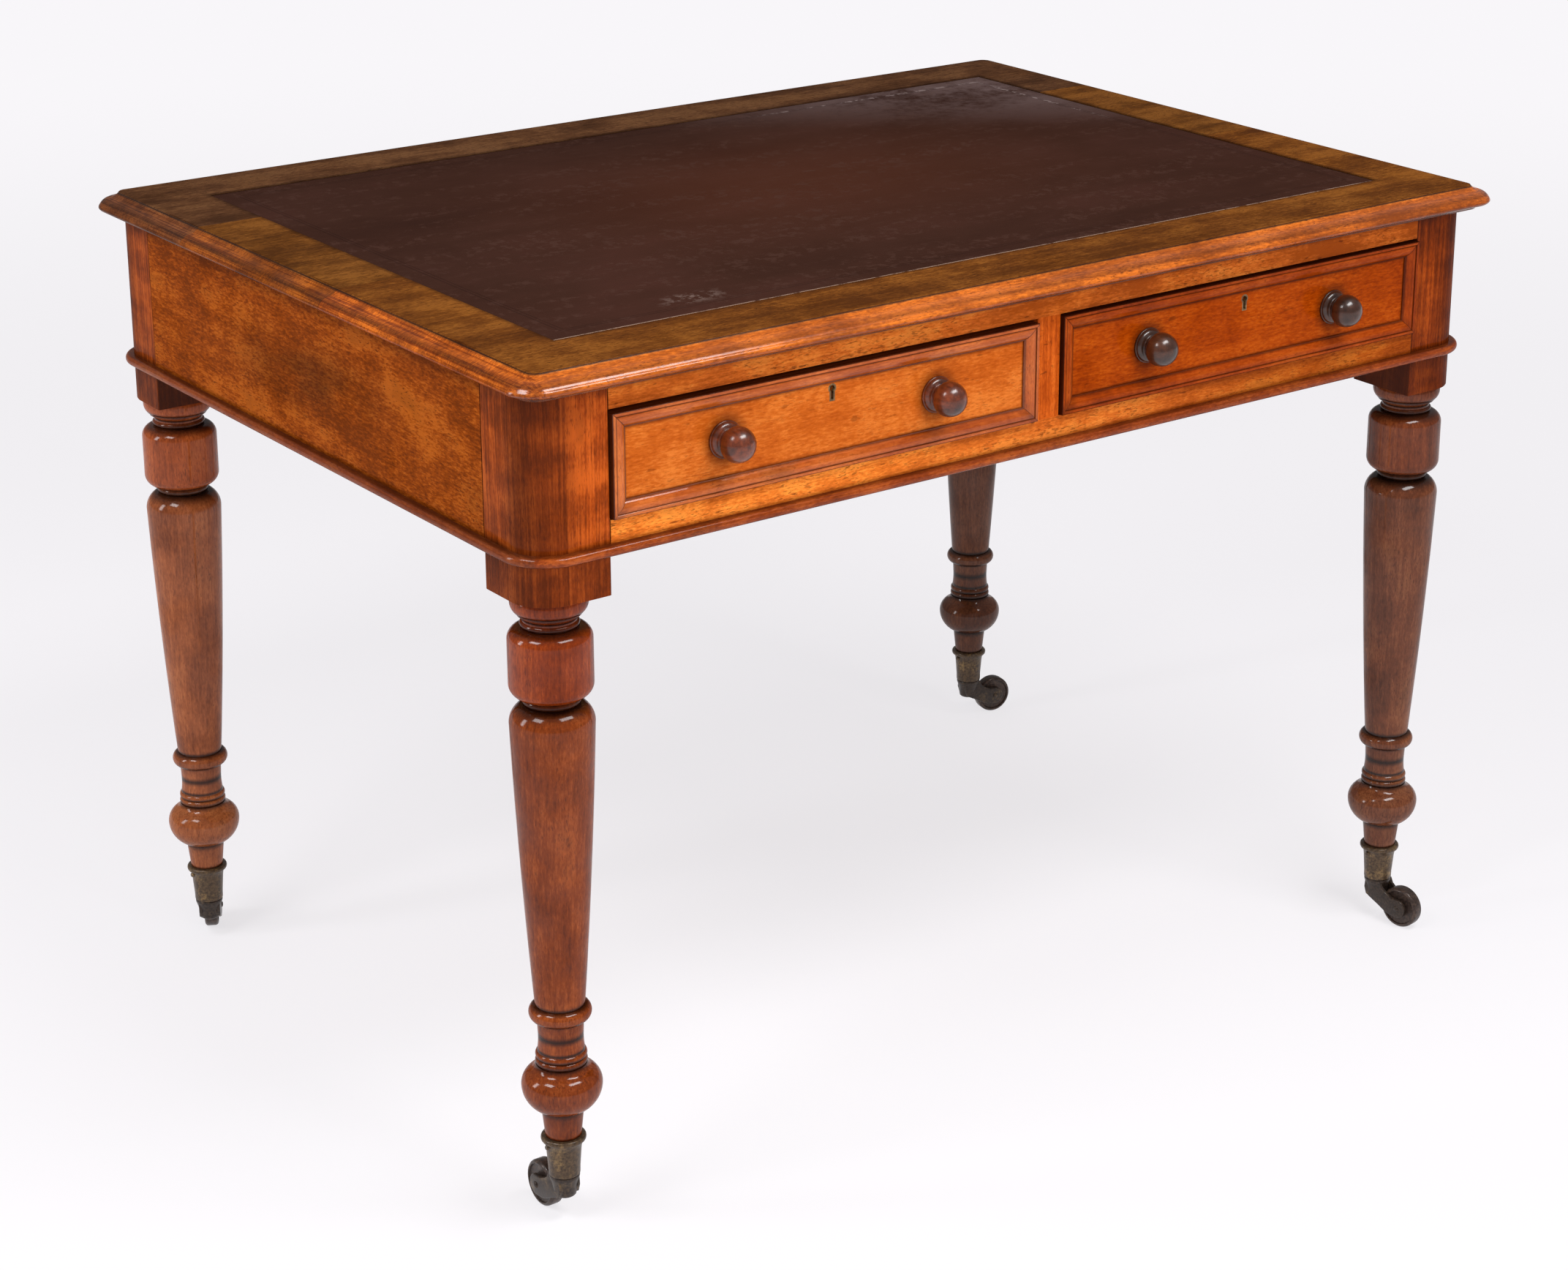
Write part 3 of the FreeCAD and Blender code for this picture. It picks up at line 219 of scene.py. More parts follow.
class Value:
    """One socket of a finish. Sums written with it add the nodes that work them out."""

    def __init__(self, finish, socket):
        self.finish = finish
        self.socket = socket

    def sum(self, operation, *others):
        inputs = dict(enumerate((self, *others)))
        return self.finish.add("ShaderNodeMath", {"operation": operation}, inputs)

    def __add__(self, other):
        return self.sum("ADD", other)

    def __sub__(self, other):
        return self.sum("SUBTRACT", other)

    def __rsub__(self, other):
        return self.sum("MULTIPLY_ADD", -1, other)

    def __mul__(self, other):
        return self.sum("MULTIPLY", other)

    __radd__ = __add__
    __rmul__ = __mul__

    def least(self, other):
        return self.sum("MINIMUM", other)

    def most(self, *others):
        highest = self
        for other in others:
            highest = highest.sum("MAXIMUM", other)
        return highest

    def size(self):
        return self.sum("ABSOLUTE")

    def ease(self, start, stop):
        """0 at start, 1 at stop, and a smooth rise between."""
        inputs = {"Value": self, "From Min": min(start, stop), "From Max": max(start, stop),
                  "To Min": float(start > stop), "To Max": float(start < stop)}
        return self.finish.add("ShaderNodeMapRange", {"interpolation_type": "SMOOTHSTEP"}, inputs)

    def near(self, level, reach):
        """1 at level, down to 0 at reach from it."""
        return (self - level).size().ease(reach, 0)


class Finish:
    """The nodes of one material or world, with one method that adds any node to them."""

    def __init__(self, owner):
        self.owner = owner
        self.point = None
        owner.use_nodes = True
        self.tree = owner.node_tree
        self.tree.nodes.clear()

    def add(self, kind, settings, inputs, output=0):
        node = self.tree.nodes.new(kind)
        for name, setting in settings.items():
            if name == "stops":
                ramp = node.color_ramp.elements
                while len(ramp) < len(setting):
                    ramp.new(1.0)
                for stop, (position, color) in zip(ramp, setting):
                    stop.position = position
                    stop.color = color
            else:
                setattr(node, name, setting)
        for name, value in inputs.items():
            if isinstance(value, Value):
                self.tree.links.new(value.socket, node.inputs[name])
            else:
                node.inputs[name].default_value = value
        return Value(self, None if output is None else node.outputs[output])

    def place(self):
        """Where a point lies in the table's own frame, in metres."""
        if not self.point:
            self.point = self.add("ShaderNodeTexCoord", {}, {}, "Object")
        return self.point

    def turned(self, along):
        """A point's place in a board that is turned until the grain runs along X."""
        inputs = {"Vector": self.place(), "Rotation": GRAIN_TURNS[along]}
        return self.add("ShaderNodeVectorRotate", {"rotation_type": "EULER_XYZ"}, inputs)

    def parts(self):
        """The X, Y and Z of a point."""
        first = self.add("ShaderNodeSeparateXYZ", {}, {0: self.place()})
        return [Value(self, socket) for socket in first.socket.node.outputs]

    def spread(self, vector, scale, offset):
        """A place multiplied by scale and moved by offset."""
        inputs = {0: vector, 1: scale, 2: offset}
        return self.add("ShaderNodeVectorMath", {"operation": "MULTIPLY_ADD"}, inputs)

    def noise(self, vector, scale, detail=3.0, roughness=0.5, offset=(0, 0, 0)):
        """Soft noise from 0 to 1. The larger the scale along X, Y or Z, the finer it is that way."""
        place = self.spread(vector, scale, offset)
        inputs = {"Vector": place, "Scale": 1.0, "Detail": detail, "Roughness": roughness}
        return self.add("ShaderNodeTexNoise", {}, inputs)

    def mixed(self, first, second, share):
        settings = {"data_type": "RGBA", "clamp_factor": True}
        return self.add("ShaderNodeMix", settings, {0: share, 6: first, 7: second}, 2)

    def tinted(self, color, factor, share):
        """A colour whose red, green and blue are multiplied by factor, as far as share goes."""
        changed = self.add("ShaderNodeVectorMath", {"operation": "MULTIPLY"}, {0: color, 1: factor})
        return self.mixed(color, changed, share)

    def ramp(self, value, stops):
        return self.add("ShaderNodeValToRGB", {"stops": stops}, {0: value})

    def surface(self, color, roughness, height, depth, metallic=0.0, specular=0.0, coat=0.0,
                coat_roughness=0.15):
        """Ends the finish with a surface. depth is the bumps' height in metres where height is 1."""
        normal = self.add("ShaderNodeBump", {}, {"Strength": 1.0, "Distance": depth, "Height": height})
        inputs = {"Base Color": color, "Roughness": roughness, "Metallic": metallic, "Coat Weight": coat,
                  "Coat Roughness": coat_roughness, "Specular IOR Level": specular, "Normal": normal}
        return self.end("ShaderNodeOutputMaterial", self.add("ShaderNodeBsdfPrincipled", {}, inputs))

    def end(self, kind, result):
        self.add(kind, {}, {0: result}, None)
        return self.owner


def mahogany(name, tones, along, log=(0, 0, 0), dirt_and_shade=None, recolor=None, ribbon=0.7, streak=0.6, mottle=0.8,
             fleck=0.5, figure=0.4, pores=0.35, coat=0.1, coat_roughness=0.14):
    """Old polished mahogany. tones run from the darkest to the lightest, along is the grain's direction, and
    log picks another part of the tree. The function after log gives the share of dark dirt and painted shade
    at a point, the one after it may change the colour by place, for the wood's tone and for painted light,
    and the values from ribbon to pores are the strengths of the grain's marks."""
    finish = Finish(bpy.data.materials.new(name))
    tree = finish.spread(finish.turned(along), (1, 1, 1), log)
    bend = finish.noise(tree, (1.5, 8, 8), 2) - 0.5
    bends = finish.add("ShaderNodeCombineXYZ", {}, {1: bend, 2: bend})
    bent = finish.spread(bends, (0, 0.024, 0.024), tree)
    wide = finish.noise(bent, (1.3, 19, 19), 3, 0.55)
    fine = finish.noise(bent, (7, 330, 330), 4, 0.7)
    cloud = finish.noise(tree, (12, 30, 30), 5, 0.62)
    short = finish.noise(tree, (170, 560, 560), 3, 0.65)
    cross = finish.noise(bent, (34, 15, 15), 3, 0.55, (7, 2, 5))
    pore = finish.noise(bent, (210, 900, 900), 1, 0.5, (3, 1, 2)).ease(0.6, 0.7)
    tone = (wide - 0.5) * ribbon + (fine - 0.5) * streak + (cloud - 0.5) * mottle + (short - 0.5) * fleck
    tone = tone + (cross - 0.5) * figure + 0.5
    dark, deep, middle, light = tones
    color = finish.ramp(tone, [(0.26, deep), (0.5, middle), (0.72, light)])
    color = finish.mixed(color, dark, pore * cloud.ease(0.4, 0.6) * pores)
    if recolor:
        color = recolor(finish, color, cloud)
    # dark dirt and painted shade
    if dirt_and_shade:
        color = finish.mixed(color, dark, dirt_and_shade(finish, cloud).least(0.94))
    wear = finish.noise(finish.place(), (16, 16, 16), 4, 0.6)
    roughness = 0.42 + (wear - 0.5) * 0.3
    height = fine * 0.3 + wear * 1.4 - pore * 0.7
    shine = coat if isinstance(coat, float) else coat(finish)
    return finish.surface(color, roughness, height, 0.0002, coat=shine * (wear.ease(0.2, 0.62) * 0.5 + 0.5),
                          coat_roughness=coat_roughness)


# heights of the turning's hollows and lines, and how far painted shade reaches from each, in millimetres
LEG_HOLLOWS = [(81, 2.5), (106.5, 5), (149.5, 4), (156, 2), (162, 2), (175, 4), (190, 3), (203.5, 3),
               (471, 7), (477.5, 3), (538, 6), (544.5, 2), (550, 3)]


def leg_shade_and_smears(finish, cloud):
    """Painted shade in the hollows of the turning, and dark smears down the shaft."""
    z = finish.parts()[2]
    dark = cloud.ease(0.54, 0.8) * 0.5
    for height, reach in LEG_HOLLOWS:
        dark = dark.most(z.near(height * MM, reach * 1.35 * MM) * 0.92)
    return dark


def leg_recolor(finish, color, cloud):
    """The barrel above is redder than the shaft."""
    return finish.tinted(color, (1.1, 0.84, 0.6), finish.parts()[2].ease(0.47, 0.484))


def post_dirt_and_shade(finish, cloud):
    """Painted shade under the top and by the bead; dark seams, grain strands and marks; and darkening down
    the round corners and over the block below the frieze.
    """
    x, y, z = finish.parts()
    past_x = (x - FRAME_MIDDLE.x).size() - SEAM_X
    past_y = (y - FRAME_MIDDLE.y).size() - SEAM_Y
    # under_top and by_bead are painted shade, as if cast by the top and the bead
    under_top = z.ease(FRIEZE_TOP - 0.016, FRIEZE_TOP) * 0.5
    by_bead = z.near(BEAD_TOP, 0.006) * 0.6
    block = z.ease(FRIEZE_LOW + 0.002, FRIEZE_LOW - 0.002) * 0.5
    seams = past_x.near(0, 0.0016).most(past_y.near(0, 0.0016)) * 0.85
    strands = finish.noise(finish.place(), (420, 420, 6), 3, 0.6).ease(0.5, 0.72) * 0.5
    corner = (past_x + past_y).ease(0.09, 0.124) * (cloud * 0.8 + 0.2)
    marks = strands.most(cloud.ease(0.5, 0.78) * 0.5)
    return under_top.most(by_bead, block, seams, corner, marks)


def post_front_light(factor):
    """Painted light: the posts' front faces are lighter than their sides on the left and darker on the right,
    as light from the front left falls on them.
    """
    def recolor(finish, color, cloud):
        front = finish.parts()[1].ease(POST_LOW.y + POST_ROUND, POST_LOW.y - 0.002)
        return finish.tinted(color, factor, front)
    return recolor


LEG_TONES = {
    ("front", "left"): paints((24, 9, 5), (82, 32, 9), (116, 50, 15), (150, 74, 30)),
    ("rear", "left"): paints((28, 13, 8), (98, 48, 24), (138, 74, 40), (168, 98, 56)),
    ("front", "right"): paints((22, 11, 7), (68, 35, 20), (98, 53, 32), (128, 76, 47)),
    ("rear", "right"): paints((20, 11, 8), (58, 31, 20), (84, 47, 30), (110, 66, 43)),
}
POST_TONES = paints((46, 18, 7), (102, 42, 10), (140, 60, 16), (176, 84, 28))
# painted light and shade on the posts' front faces: lighter on the left, darker on the right
POST_FRONT_LIGHT = {"left": (1.35, 1.2, 0.9), "right": (0.85, 0.7, 0.4)}
LEG_FEET = {}
for end, side in CORNERS:
    node = f"leg_{end}_{side}"
    low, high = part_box(node)
    outline = turned_outline(LEG_ROWS)
    foot = Vector(((low.x + high.x) / 2, (low.y + high.y) / 2, FOOT_BOTTOM))
    LEG_FEET[end, side] = foot
    turning = lathe(f"{node}_turning", outline, foot)
    post = post_mesh(f"{node}_post", low, high, (SIDES[side], ENDS[end]), FOOT_BOTTOM + outline[-1][1] * MM)
    log = (ENDS[end] * 2, SIDES[side] * 0.7, 0.3)
    woods = [
        mahogany(f"{node}_turned_mahogany", LEG_TONES[end, side], "Z", log, leg_shade_and_smears, leg_recolor, ribbon=0.4,
                 streak=0.5, figure=0.3, pores=0.4, coat=0.62, coat_roughness=0.11),
        mahogany(f"{node}_post_mahogany", POST_TONES, "Z", log, post_dirt_and_shade, post_front_light(POST_FRONT_LIGHT[side]),
                 ribbon=0.5, streak=1.2, mottle=0.7, figure=1, coat=0.14),
    ]
    finished(joined(node, [turning, post]), woods, "table", node, 38)


# The frieze: flush rails and panels between the posts. The front rails lie above and below the drawers, with
# a short upright between them; the sides and back are wide boards with a flecked, mottled grain.
def dress(material, *nodes):
    """Gives CAD nodes that keep their shape a material of their own."""
    for node in nodes:
        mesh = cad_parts[node].data
        mesh.materials.clear()
        mesh.materials.append(material)


def spots(finish, scale, offset=(0, 0, 0)):
    """A few small dark marks, such as worm holes and knocks."""
    return finish.noise(finish.place(), scale, 2, 0.5, offset).ease(0.67, 0.74)


# Dark seams, marks and dashes, with painted shade under the top and above the bead.
def front_dirt_and_shade(finish, cloud):
    x, y, z = finish.parts()
    under_top = z.ease(FRIEZE_TOP - 0.007, FRIEZE_TOP) * 0.45
    by_bead = z.ease(BEAD_TOP + 0.004, BEAD_TOP) * 0.5
    seam = x.size().near(SEAM_X, 0.001) * 0.8
    marks = spots(finish, (70, 70, 210)) * 0.55
    dashes = finish.noise(finish.place(), (120, 120, 620), 2, 0.5, (3, 5, 1)).ease(0.58, 0.68)
    marks = marks.most(dashes * cloud.ease(0.42, 0.6) * 0.6)
    return under_top.most(by_bead, seam, marks, cloud.ease(0.56, 0.8) * 0.4)


def side_dirt_and_shade(finish, cloud):
    """The sides are darkest in a soft band half way up, have painted shade along the top and the bead,
    and dark seams by the posts.
    """
    x, y, z = finish.parts()
    under_top = z.ease(FRIEZE_TOP - 0.014, FRIEZE_TOP) * 0.35
    by_bead = z.ease(BEAD_TOP + 0.006, BEAD_TOP) * 0.5
    seam = (y - FRAME_MIDDLE.y).size().near(SEAM_Y, 0.001) * 0.8
    band = (z + y * 0.04).near((BEAD_TOP + FRIEZE_TOP) / 2 - 0.004, 0.052)
    patch = band * y.near(0, 0.2) * cloud.ease(0.26, 0.56) * 0.72
    return under_top.most(by_bead, seam, patch, cloud.ease(0.52, 0.8) * 0.45)


def rail_painted_light(finish, color, cloud):
    """Painted light: the bottom rail is lighter towards the left and darker towards the right, as the light
    falls off from the left.
    """
    x, y, z = finish.parts()
    low = z.ease((FRIEZE_TOP + BEAD_TOP) / 2, (FRIEZE_TOP + BEAD_TOP) / 2 - 0.02)
    color = finish.tinted(color, (1.28, 1.4, 1.4), low * x.ease(0, -0.2))
    return finish.tinted(color, (0.66, 0.6, 0.42), low * x.ease(0.05, 0.3))


RAIL_TONES = paints((72, 26, 6), (160, 72, 16), (200, 98, 30), (226, 128, 48))
UPRIGHT_TONES = paints((72, 26, 6), (156, 62, 12), (192, 84, 20), (216, 108, 34))
SIDE_TONES = paints((48, 20, 6), (104, 45, 7), (138, 62, 11), (170, 87, 24))
dress(mahogany("rail_mahogany", RAIL_TONES, "X", (0, 0, 0), front_dirt_and_shade, rail_painted_light, mottle=1.3, fleck=0.7,
               pores=0.5), "rail_front_top", "rail_front_bottom")
dress(mahogany("upright_mahogany", UPRIGHT_TONES, "Z", (1, 0, 0), front_dirt_and_shade, streak=1, fleck=0.6),
      "muntin_front")
dress(mahogany("side_mahogany", SIDE_TONES, "Y", (2, 0, 0), side_dirt_and_shade, streak=0.4, mottle=1.2, fleck=1.1,
               pores=0.6, coat=0.06), "rail_side_left", "rail_side_right")
dress(mahogany("back_mahogany", SIDE_TONES, "X", (5, 2, 1), front_dirt_and_shade, fleck=0.8, coat=0.06), "rail_back")


# The bead: a half-round strip of mahogany planted round the bottom of the frieze, bent round the corners
# and mitred at their middles.
BEAD_REACH = 0.008
BEAD_GAP = 0.0001
BEAD_HALF = (BEAD_TOP - BEAD_LOW) / 2
BEAD_STEPS = 14
CORNER_STEPS = 12


def bead_section():
    """How far out and how high the bead's section lies, from its lower back edge."""
    flat = BEAD_REACH - BEAD_HALF
    points = [(BEAD_GAP, 0)]
    for step in range(BEAD_STEPS + 1):
        angle = math.pi * (step / BEAD_STEPS - 0.5)
        points.append((flat + BEAD_HALF * math.cos(angle), BEAD_HALF * (1 + math.sin(angle))))
    points.append((BEAD_GAP, 2 * BEAD_HALF))
    return points


def bead_mesh(name, turn, half_length, half_depth):
    """One side's bead, as if it were the front's, then turned about the frame's middle."""
    spin = Matrix.Rotation(turn, 3, "Z")
    path = []
    for start, side in ((-135, -1), (-90, 1)):
        for step in range(CORNER_STEPS + 1):
            path.append((side * (half_length - POST_ROUND), math.radians(start + 45 * step / CORNER_STEPS)))
    rings = []
    for centre_x, angle in path:
        ring = []
        for out, up in bead_section():
            reach = POST_ROUND + out
            point = spin @ Vector((centre_x + reach * math.cos(angle),
                                   POST_ROUND - half_depth + reach * math.sin(angle), 0))
            ring.append((FRAME_MIDDLE.x + point.x, FRAME_MIDDLE.y + point.y, BEAD_LOW + up))
        rings.append(ring)
    return grid_mesh(name, rings)


# Painted shade where the bead meets the frieze and under the bead, with dark cloudy marks.
def bead_dirt_and_shade(finish, cloud):
    z = finish.parts()[2]
    behind = z.ease(BEAD_TOP - 0.0016, BEAD_TOP + 0.0004) * 0.7
    below = z.ease(BEAD_LOW + 0.003, BEAD_LOW) * 0.6
    return behind.most(below, cloud.ease(0.48, 0.78) * 0.6)


FRONT_BEAD_TONES = paints((38, 14, 6), (92, 34, 10), (132, 56, 18), (176, 86, 32))
SIDE_BEAD_TONES = paints((42, 18, 10), (90, 38, 16), (122, 56, 24), (150, 78, 36))
for quarter, word in enumerate(("front", "right", "back", "left")):
    halves = (FRAME_HALF.y, FRAME_HALF.x) if quarter % 2 else (FRAME_HALF.x, FRAME_HALF.y)
    tones = SIDE_BEAD_TONES if quarter else FRONT_BEAD_TONES
    wood = mahogany(f"bead_{word}_mahogany", tones, "Y" if quarter % 2 else "X", (quarter, 0, 0), bead_dirt_and_shade,
                    coat=0.45)
    mesh = bead_mesh(f"bead_{word}", quarter * math.pi / 2, *halves)
    finished(mesh, [wood], "table", f"bead_{word}", 60)


# What carries and guides the drawers: pine runners and kickers, with stops behind the fronts and glue blocks
# under the top. All of it is bare wood, planed by hand and darkened by age.
def bare_wood(name, tones, along):
    finish = Finish(bpy.data.materials.new(name))
    board = finish.turned(along)
    ring = finish.noise(board, (1.5, 40, 40), 4, 0.6)
    line = finish.noise(board, (10, 420, 420), 3, 0.6)
    stain = finish.noise(finish.place(), (7, 7, 7), 4, 0.6)
    color = finish.ramp(ring * 0.6 + line * 0.4, [(0.36, tones[0]), (0.5, tones[1]), (0.62, tones[2])])
    color = finish.mixed(color, tones[0], stain.ease(0.48, 0.75) * 0.5)
    return finish.surface(color, 0.62 + (stain - 0.5) * 0.2, line * 0.6 + ring * 0.5, 0.0002, specular=0.2)


PINE_TONES = paints((84, 56, 32), (134, 98, 60), (164, 126, 82))
pine_along = {axis: bare_wood(f"inner_pine_{axis}", PINE_TONES, axis) for axis in ("X", "Y")}
for word in ("left", "centre", "right"):
    dress(pine_along["Y"], f"drawer_runner_{word}", f"drawer_kicker_{word}")
dress(pine_along["X"], "drawer_stops", "glue_blocks")


# The drawer boxes: thin oak sides, backs and bottoms, lapped into the fronts and left unpolished.
OAK_TONES = paints((92, 62, 34), (146, 106, 64), (176, 136, 88))
oak_along = {axis: bare_wood(f"lining_oak_{axis}", OAK_TONES, axis) for axis in ("X", "Y")}
for side in SIDES:
    dress(oak_along["Y"], *[f"drawer_{side}_side_{hand}" for hand in SIDES])
    dress(oak_along["X"], f"drawer_{side}_back", f"drawer_{side}_bottom")


# The drawer fronts: a mahogany board with an ovolo moulding planted round its edge in four mitred strips.
# Wax and dirt have darkened the inner edge of the moulding; the wood round the knobs is darker, and the
# front's edges have painted shade, in the gap round the drawer.
MOULDING_GAP = 0.00006
MOULDING_WIDTH = 0.014
# in from the front's edge, out from its face, and bow
MOULDING_ROWS = [
    (0, 0, 0), (14, 0, 0), (14, 0.9, 0), (13.8, 1.2, 0), (12.9, 1.2, 0.34), (3.1, 4.6, 0), (3, 5.3, 0),
    (2.7, 5.6, 0), (0.6, 5.6, -0.3), (0, 5, 0),
]


def drawn(rows, steps):
    """The points of an outline from (x, y, bow) rows in millimetres; a row's bow leads to the next."""
    points = []
    for (x, y, bow), (next_x, next_y, _) in zip(rows, rows[1:]):
        points += bowed((x, y), (next_x, next_y), bow, steps)
    points.append(rows[-1][:2])
    return [(x * MM, y * MM) for x, y in points]


def strips_mesh(name, centre, half, face_y):
    """The four strips of one drawer's moulding: the low and high ones first, then the uprights."""
    section = drawn(MOULDING_ROWS, 8)
    strips = []
    for across, along, turn in ((half.z, half.x, 0), (half.z, half.x, math.pi),
                                (half.x, half.z, -math.pi / 2), (half.x, half.z, math.pi / 2)):
        spin = Matrix.Rotation(turn, 3, "Y")
        rings = []
        for end in (-1, 1):
            ring = []
            for inset, out in section:
                point = spin @ Vector((end * (along - inset - MOULDING_GAP), 0, inset - across))
                ring.append((centre.x + point.x, face_y - out, centre.z + point.z))
            rings.append(ring)
        strips.append(grid_mesh(f"{name}_strip_{len(strips)}", rings))
    mesh = joined(name, strips)
    for face in mesh.polygons:
        face.material_index //= 2
    return mesh


def drawer_dirt_and_shade(centre, half, knob_middles):
    """Dirt along the moulding's inner edge, darkening round the knobs, and painted shade on the edges of the
    front, in the gap round the drawer.
    """
    def dirt_and_shade(finish, cloud):
        x, y, z = finish.parts()
        inside = (half.x - (x - centre.x).size()).least(half.z - (z - centre.z).size())
        dark = inside.ease(MOULDING_WIDTH + 0.0022, MOULDING_WIDTH - 0.0006) * 0.7
        # painted shade on the front's edges, in the gap round the drawer
        dark = dark.most(inside.ease(0.0006, 0.0002) * 0.9)
        for middle in knob_middles:
            off_x = x - middle.x
            off_z = z - middle.z
            dark = dark.most((off_x * off_x + off_z * off_z).sum("SQRT").ease(0.027, 0.014) * 0.6)
        marks = spots(finish, (60, 60, 190), (1, 4, 2)) * 0.4
        return dark.most(marks, cloud.ease(0.58, 0.85) * 0.3)
    return dirt_and_shade


def moulding_dirt_and_shade(centre, half):
    """Painted shade in the moulding's step and on its outer edge, in the gap round the drawer; a dark inner
    edge, dark mitres and dark lower corners.
    """
    def dirt_and_shade(finish, cloud):
        x, y, z = finish.parts()
        in_x = half.x - (x - centre.x).size()
        in_z = half.z - (z - centre.z).size()
        inside = in_x.least(in_z)
        # the step here and the outer edge below are painted shade
        step = inside.near(0.0034, 0.0012) * 0.75
        inner = inside.ease(MOULDING_WIDTH - 0.0026, MOULDING_WIDTH - 0.0008) * 0.7
        inner = inner.most(inside.ease(0.0009, 0.0003) * 0.92)
        off_mitre = (in_x - in_z).size()
        mitre = off_mitre.ease(0.0011, 0) * 0.7
        corner = off_mitre.ease(0.014, 0.002) * (centre.z - z).ease(0.02, 0.045) * cloud.ease(0.3, 0.6) * 0.6
        return step.most(inner, mitre, corner, cloud.ease(0.52, 0.8) * 0.5)
    return dirt_and_shade


# The right drawer's front and moulding tones are darker than the left's: painted shade, as the light falls
# off towards the right.
FRONT_TONES_AND_SHADE = {
    "left": paints((76, 28, 6), (165, 72, 15), (190, 92, 26), (212, 116, 44)),
    "right": paints((58, 20, 3), (126, 43, 2), (153, 59, 4), (176, 77, 12)),
}
MOULDING_TONES_AND_SHADE = {
    "left": paints((52, 19, 6), (144, 60, 15), (174, 82, 25), (202, 106, 42)),
    "right": paints((40, 15, 4), (114, 40, 5), (146, 56, 8), (172, 76, 18)),
}
MOULDING_COAT = {"left": 0.8, "right": 0.2}
for side in SIDES:
    drawer = f"drawer_{side}"
    low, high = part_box(f"{drawer}_front")
    centre, half = (low + high) / 2, (high - low) / 2
    knob_boxes = [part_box(f"{drawer}_knob_{hand}") for hand in SIDES]
    knob_middles = [(knob_low + knob_high) / 2 for knob_low, knob_high in knob_boxes]
    dress(mahogany(f"{drawer}_mahogany", FRONT_TONES_AND_SHADE[side], "X", (4 * SIDES[side], 0.3, 0.2),
                   drawer_dirt_and_shade(centre, half, knob_middles), ribbon=0.5, streak=0.4, fleck=0.8, pores=0.3),
          f"{drawer}_front")
    woods = [mahogany(f"{drawer}_moulding_mahogany_{axis}", MOULDING_TONES_AND_SHADE[side], axis, (2, 1, SIDES[side]),
                      moulding_dirt_and_shade(centre, half), coat=MOULDING_COAT[side]) for axis in ("X", "Z")]
    finished(strips_mesh(f"{drawer}_moulding", centre, half, low.y), woods, drawer,
             f"{drawer}_moulding", 28)


# The knobs: turned in mahogany, with a spread foot, a short neck and a ball, dark and glossy from hands.
# Each is glued by a spigot into a hole through the drawer's front.
KNOB_ROWS = [
    (18, 6, 6, 0), (0.3, 15.3, 15.8, 0), (1.4, None, 15.8, 0.25), (0.5, None, 15.2, 0.3),
    (4, None, 11.8, 0.3), (0.4, None, 10.6, 0), (2.4, None, 10.2, -0.3), (9, None, 15.1, 0.27),
    (14.55, None, 3, 0.356), (0.25, None, 0.4, 0),
]
KNOB_TONES = {
    "left": paints((42, 17, 7), (84, 35, 15), (126, 56, 25)),
    "right": paints((32, 16, 8), (57, 29, 15), (86, 45, 23)),
}


def knob_finish(name, tones):
    finish = Finish(bpy.data.materials.new(name))
    place = finish.place()
    cloud = finish.noise(place, (45, 45, 45), 4, 0.6)
    streak = finish.noise(place, (280, 40, 280), 3, 0.6)
    rubbed = finish.noise(place, (90, 90, 90), 3, 0.6, (2, 0, 0))
    color = finish.ramp(cloud * 0.6 + streak * 0.4, [(0.34, tones[0]), (0.5, tones[1]), (0.66, tones[2])])
    return finish.surface(color, 0.4 + (rubbed - 0.5) * 0.3, cloud + streak * 0.2, 0.00035, specular=0.2,
                          coat=rubbed.ease(0.25, 0.55) * 0.2 + 0.8, coat_roughness=0.2)


for drawer_side in SIDES:
    knob_wood = knob_finish(f"knob_mahogany_{drawer_side}", KNOB_TONES[drawer_side])
    for hand in SIDES:
        node = f"drawer_{drawer_side}_knob_{hand}"
        low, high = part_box(node)
        root = Vector(((low.x + high.x) / 2, high.y, (low.z + high.z) / 2))
        mesh = lathe(node, turned_outline(KNOB_ROWS, 10), root, Matrix.Rotation(math.pi / 2, 3, "X"), 64)
        finished(mesh, [knob_wood], f"drawer_{drawer_side}", node, 45)


# The locks and the keyholes' liners: cast and filed brass, let into the wood, dull with age.
def old_brass(name, tones, roughness, spread, coat=0.0):
    """Brass under a brown skin, which has rubbed off in places."""
    finish = Finish(bpy.data.materials.new(name))
    place = finish.place()
    cloud = finish.noise(place, (70, 70, 70), 4, 0.65)
    fine = finish.noise(place, (420, 420, 420), 3, 0.6, (5, 0, 0))
    bare = (cloud * 0.75 + fine * 0.25).ease(0.5, 0.5 + spread)
    color = finish.mixed(finish.mixed(tones[0], tones[1], fine.ease(0.3, 0.7)), tones[2], bare)
    rough = roughness + (fine - 0.5) * 0.25 - bare * 0.12
    return finish.surface(color, rough, cloud * 0.8 + fine * 0.3, 0.0003, metallic=0.3 + bare * 0.6,
                          specular=0.3, coat=coat)


fitting_brass = old_brass("fitting_brass", paints((80, 60, 40), (120, 94, 60), (180, 146, 92)), 0.42, 0.2)
for side in SIDES:
    dress(fitting_brass, f"drawer_{side}_lock", f"drawer_{side}_escutcheon")


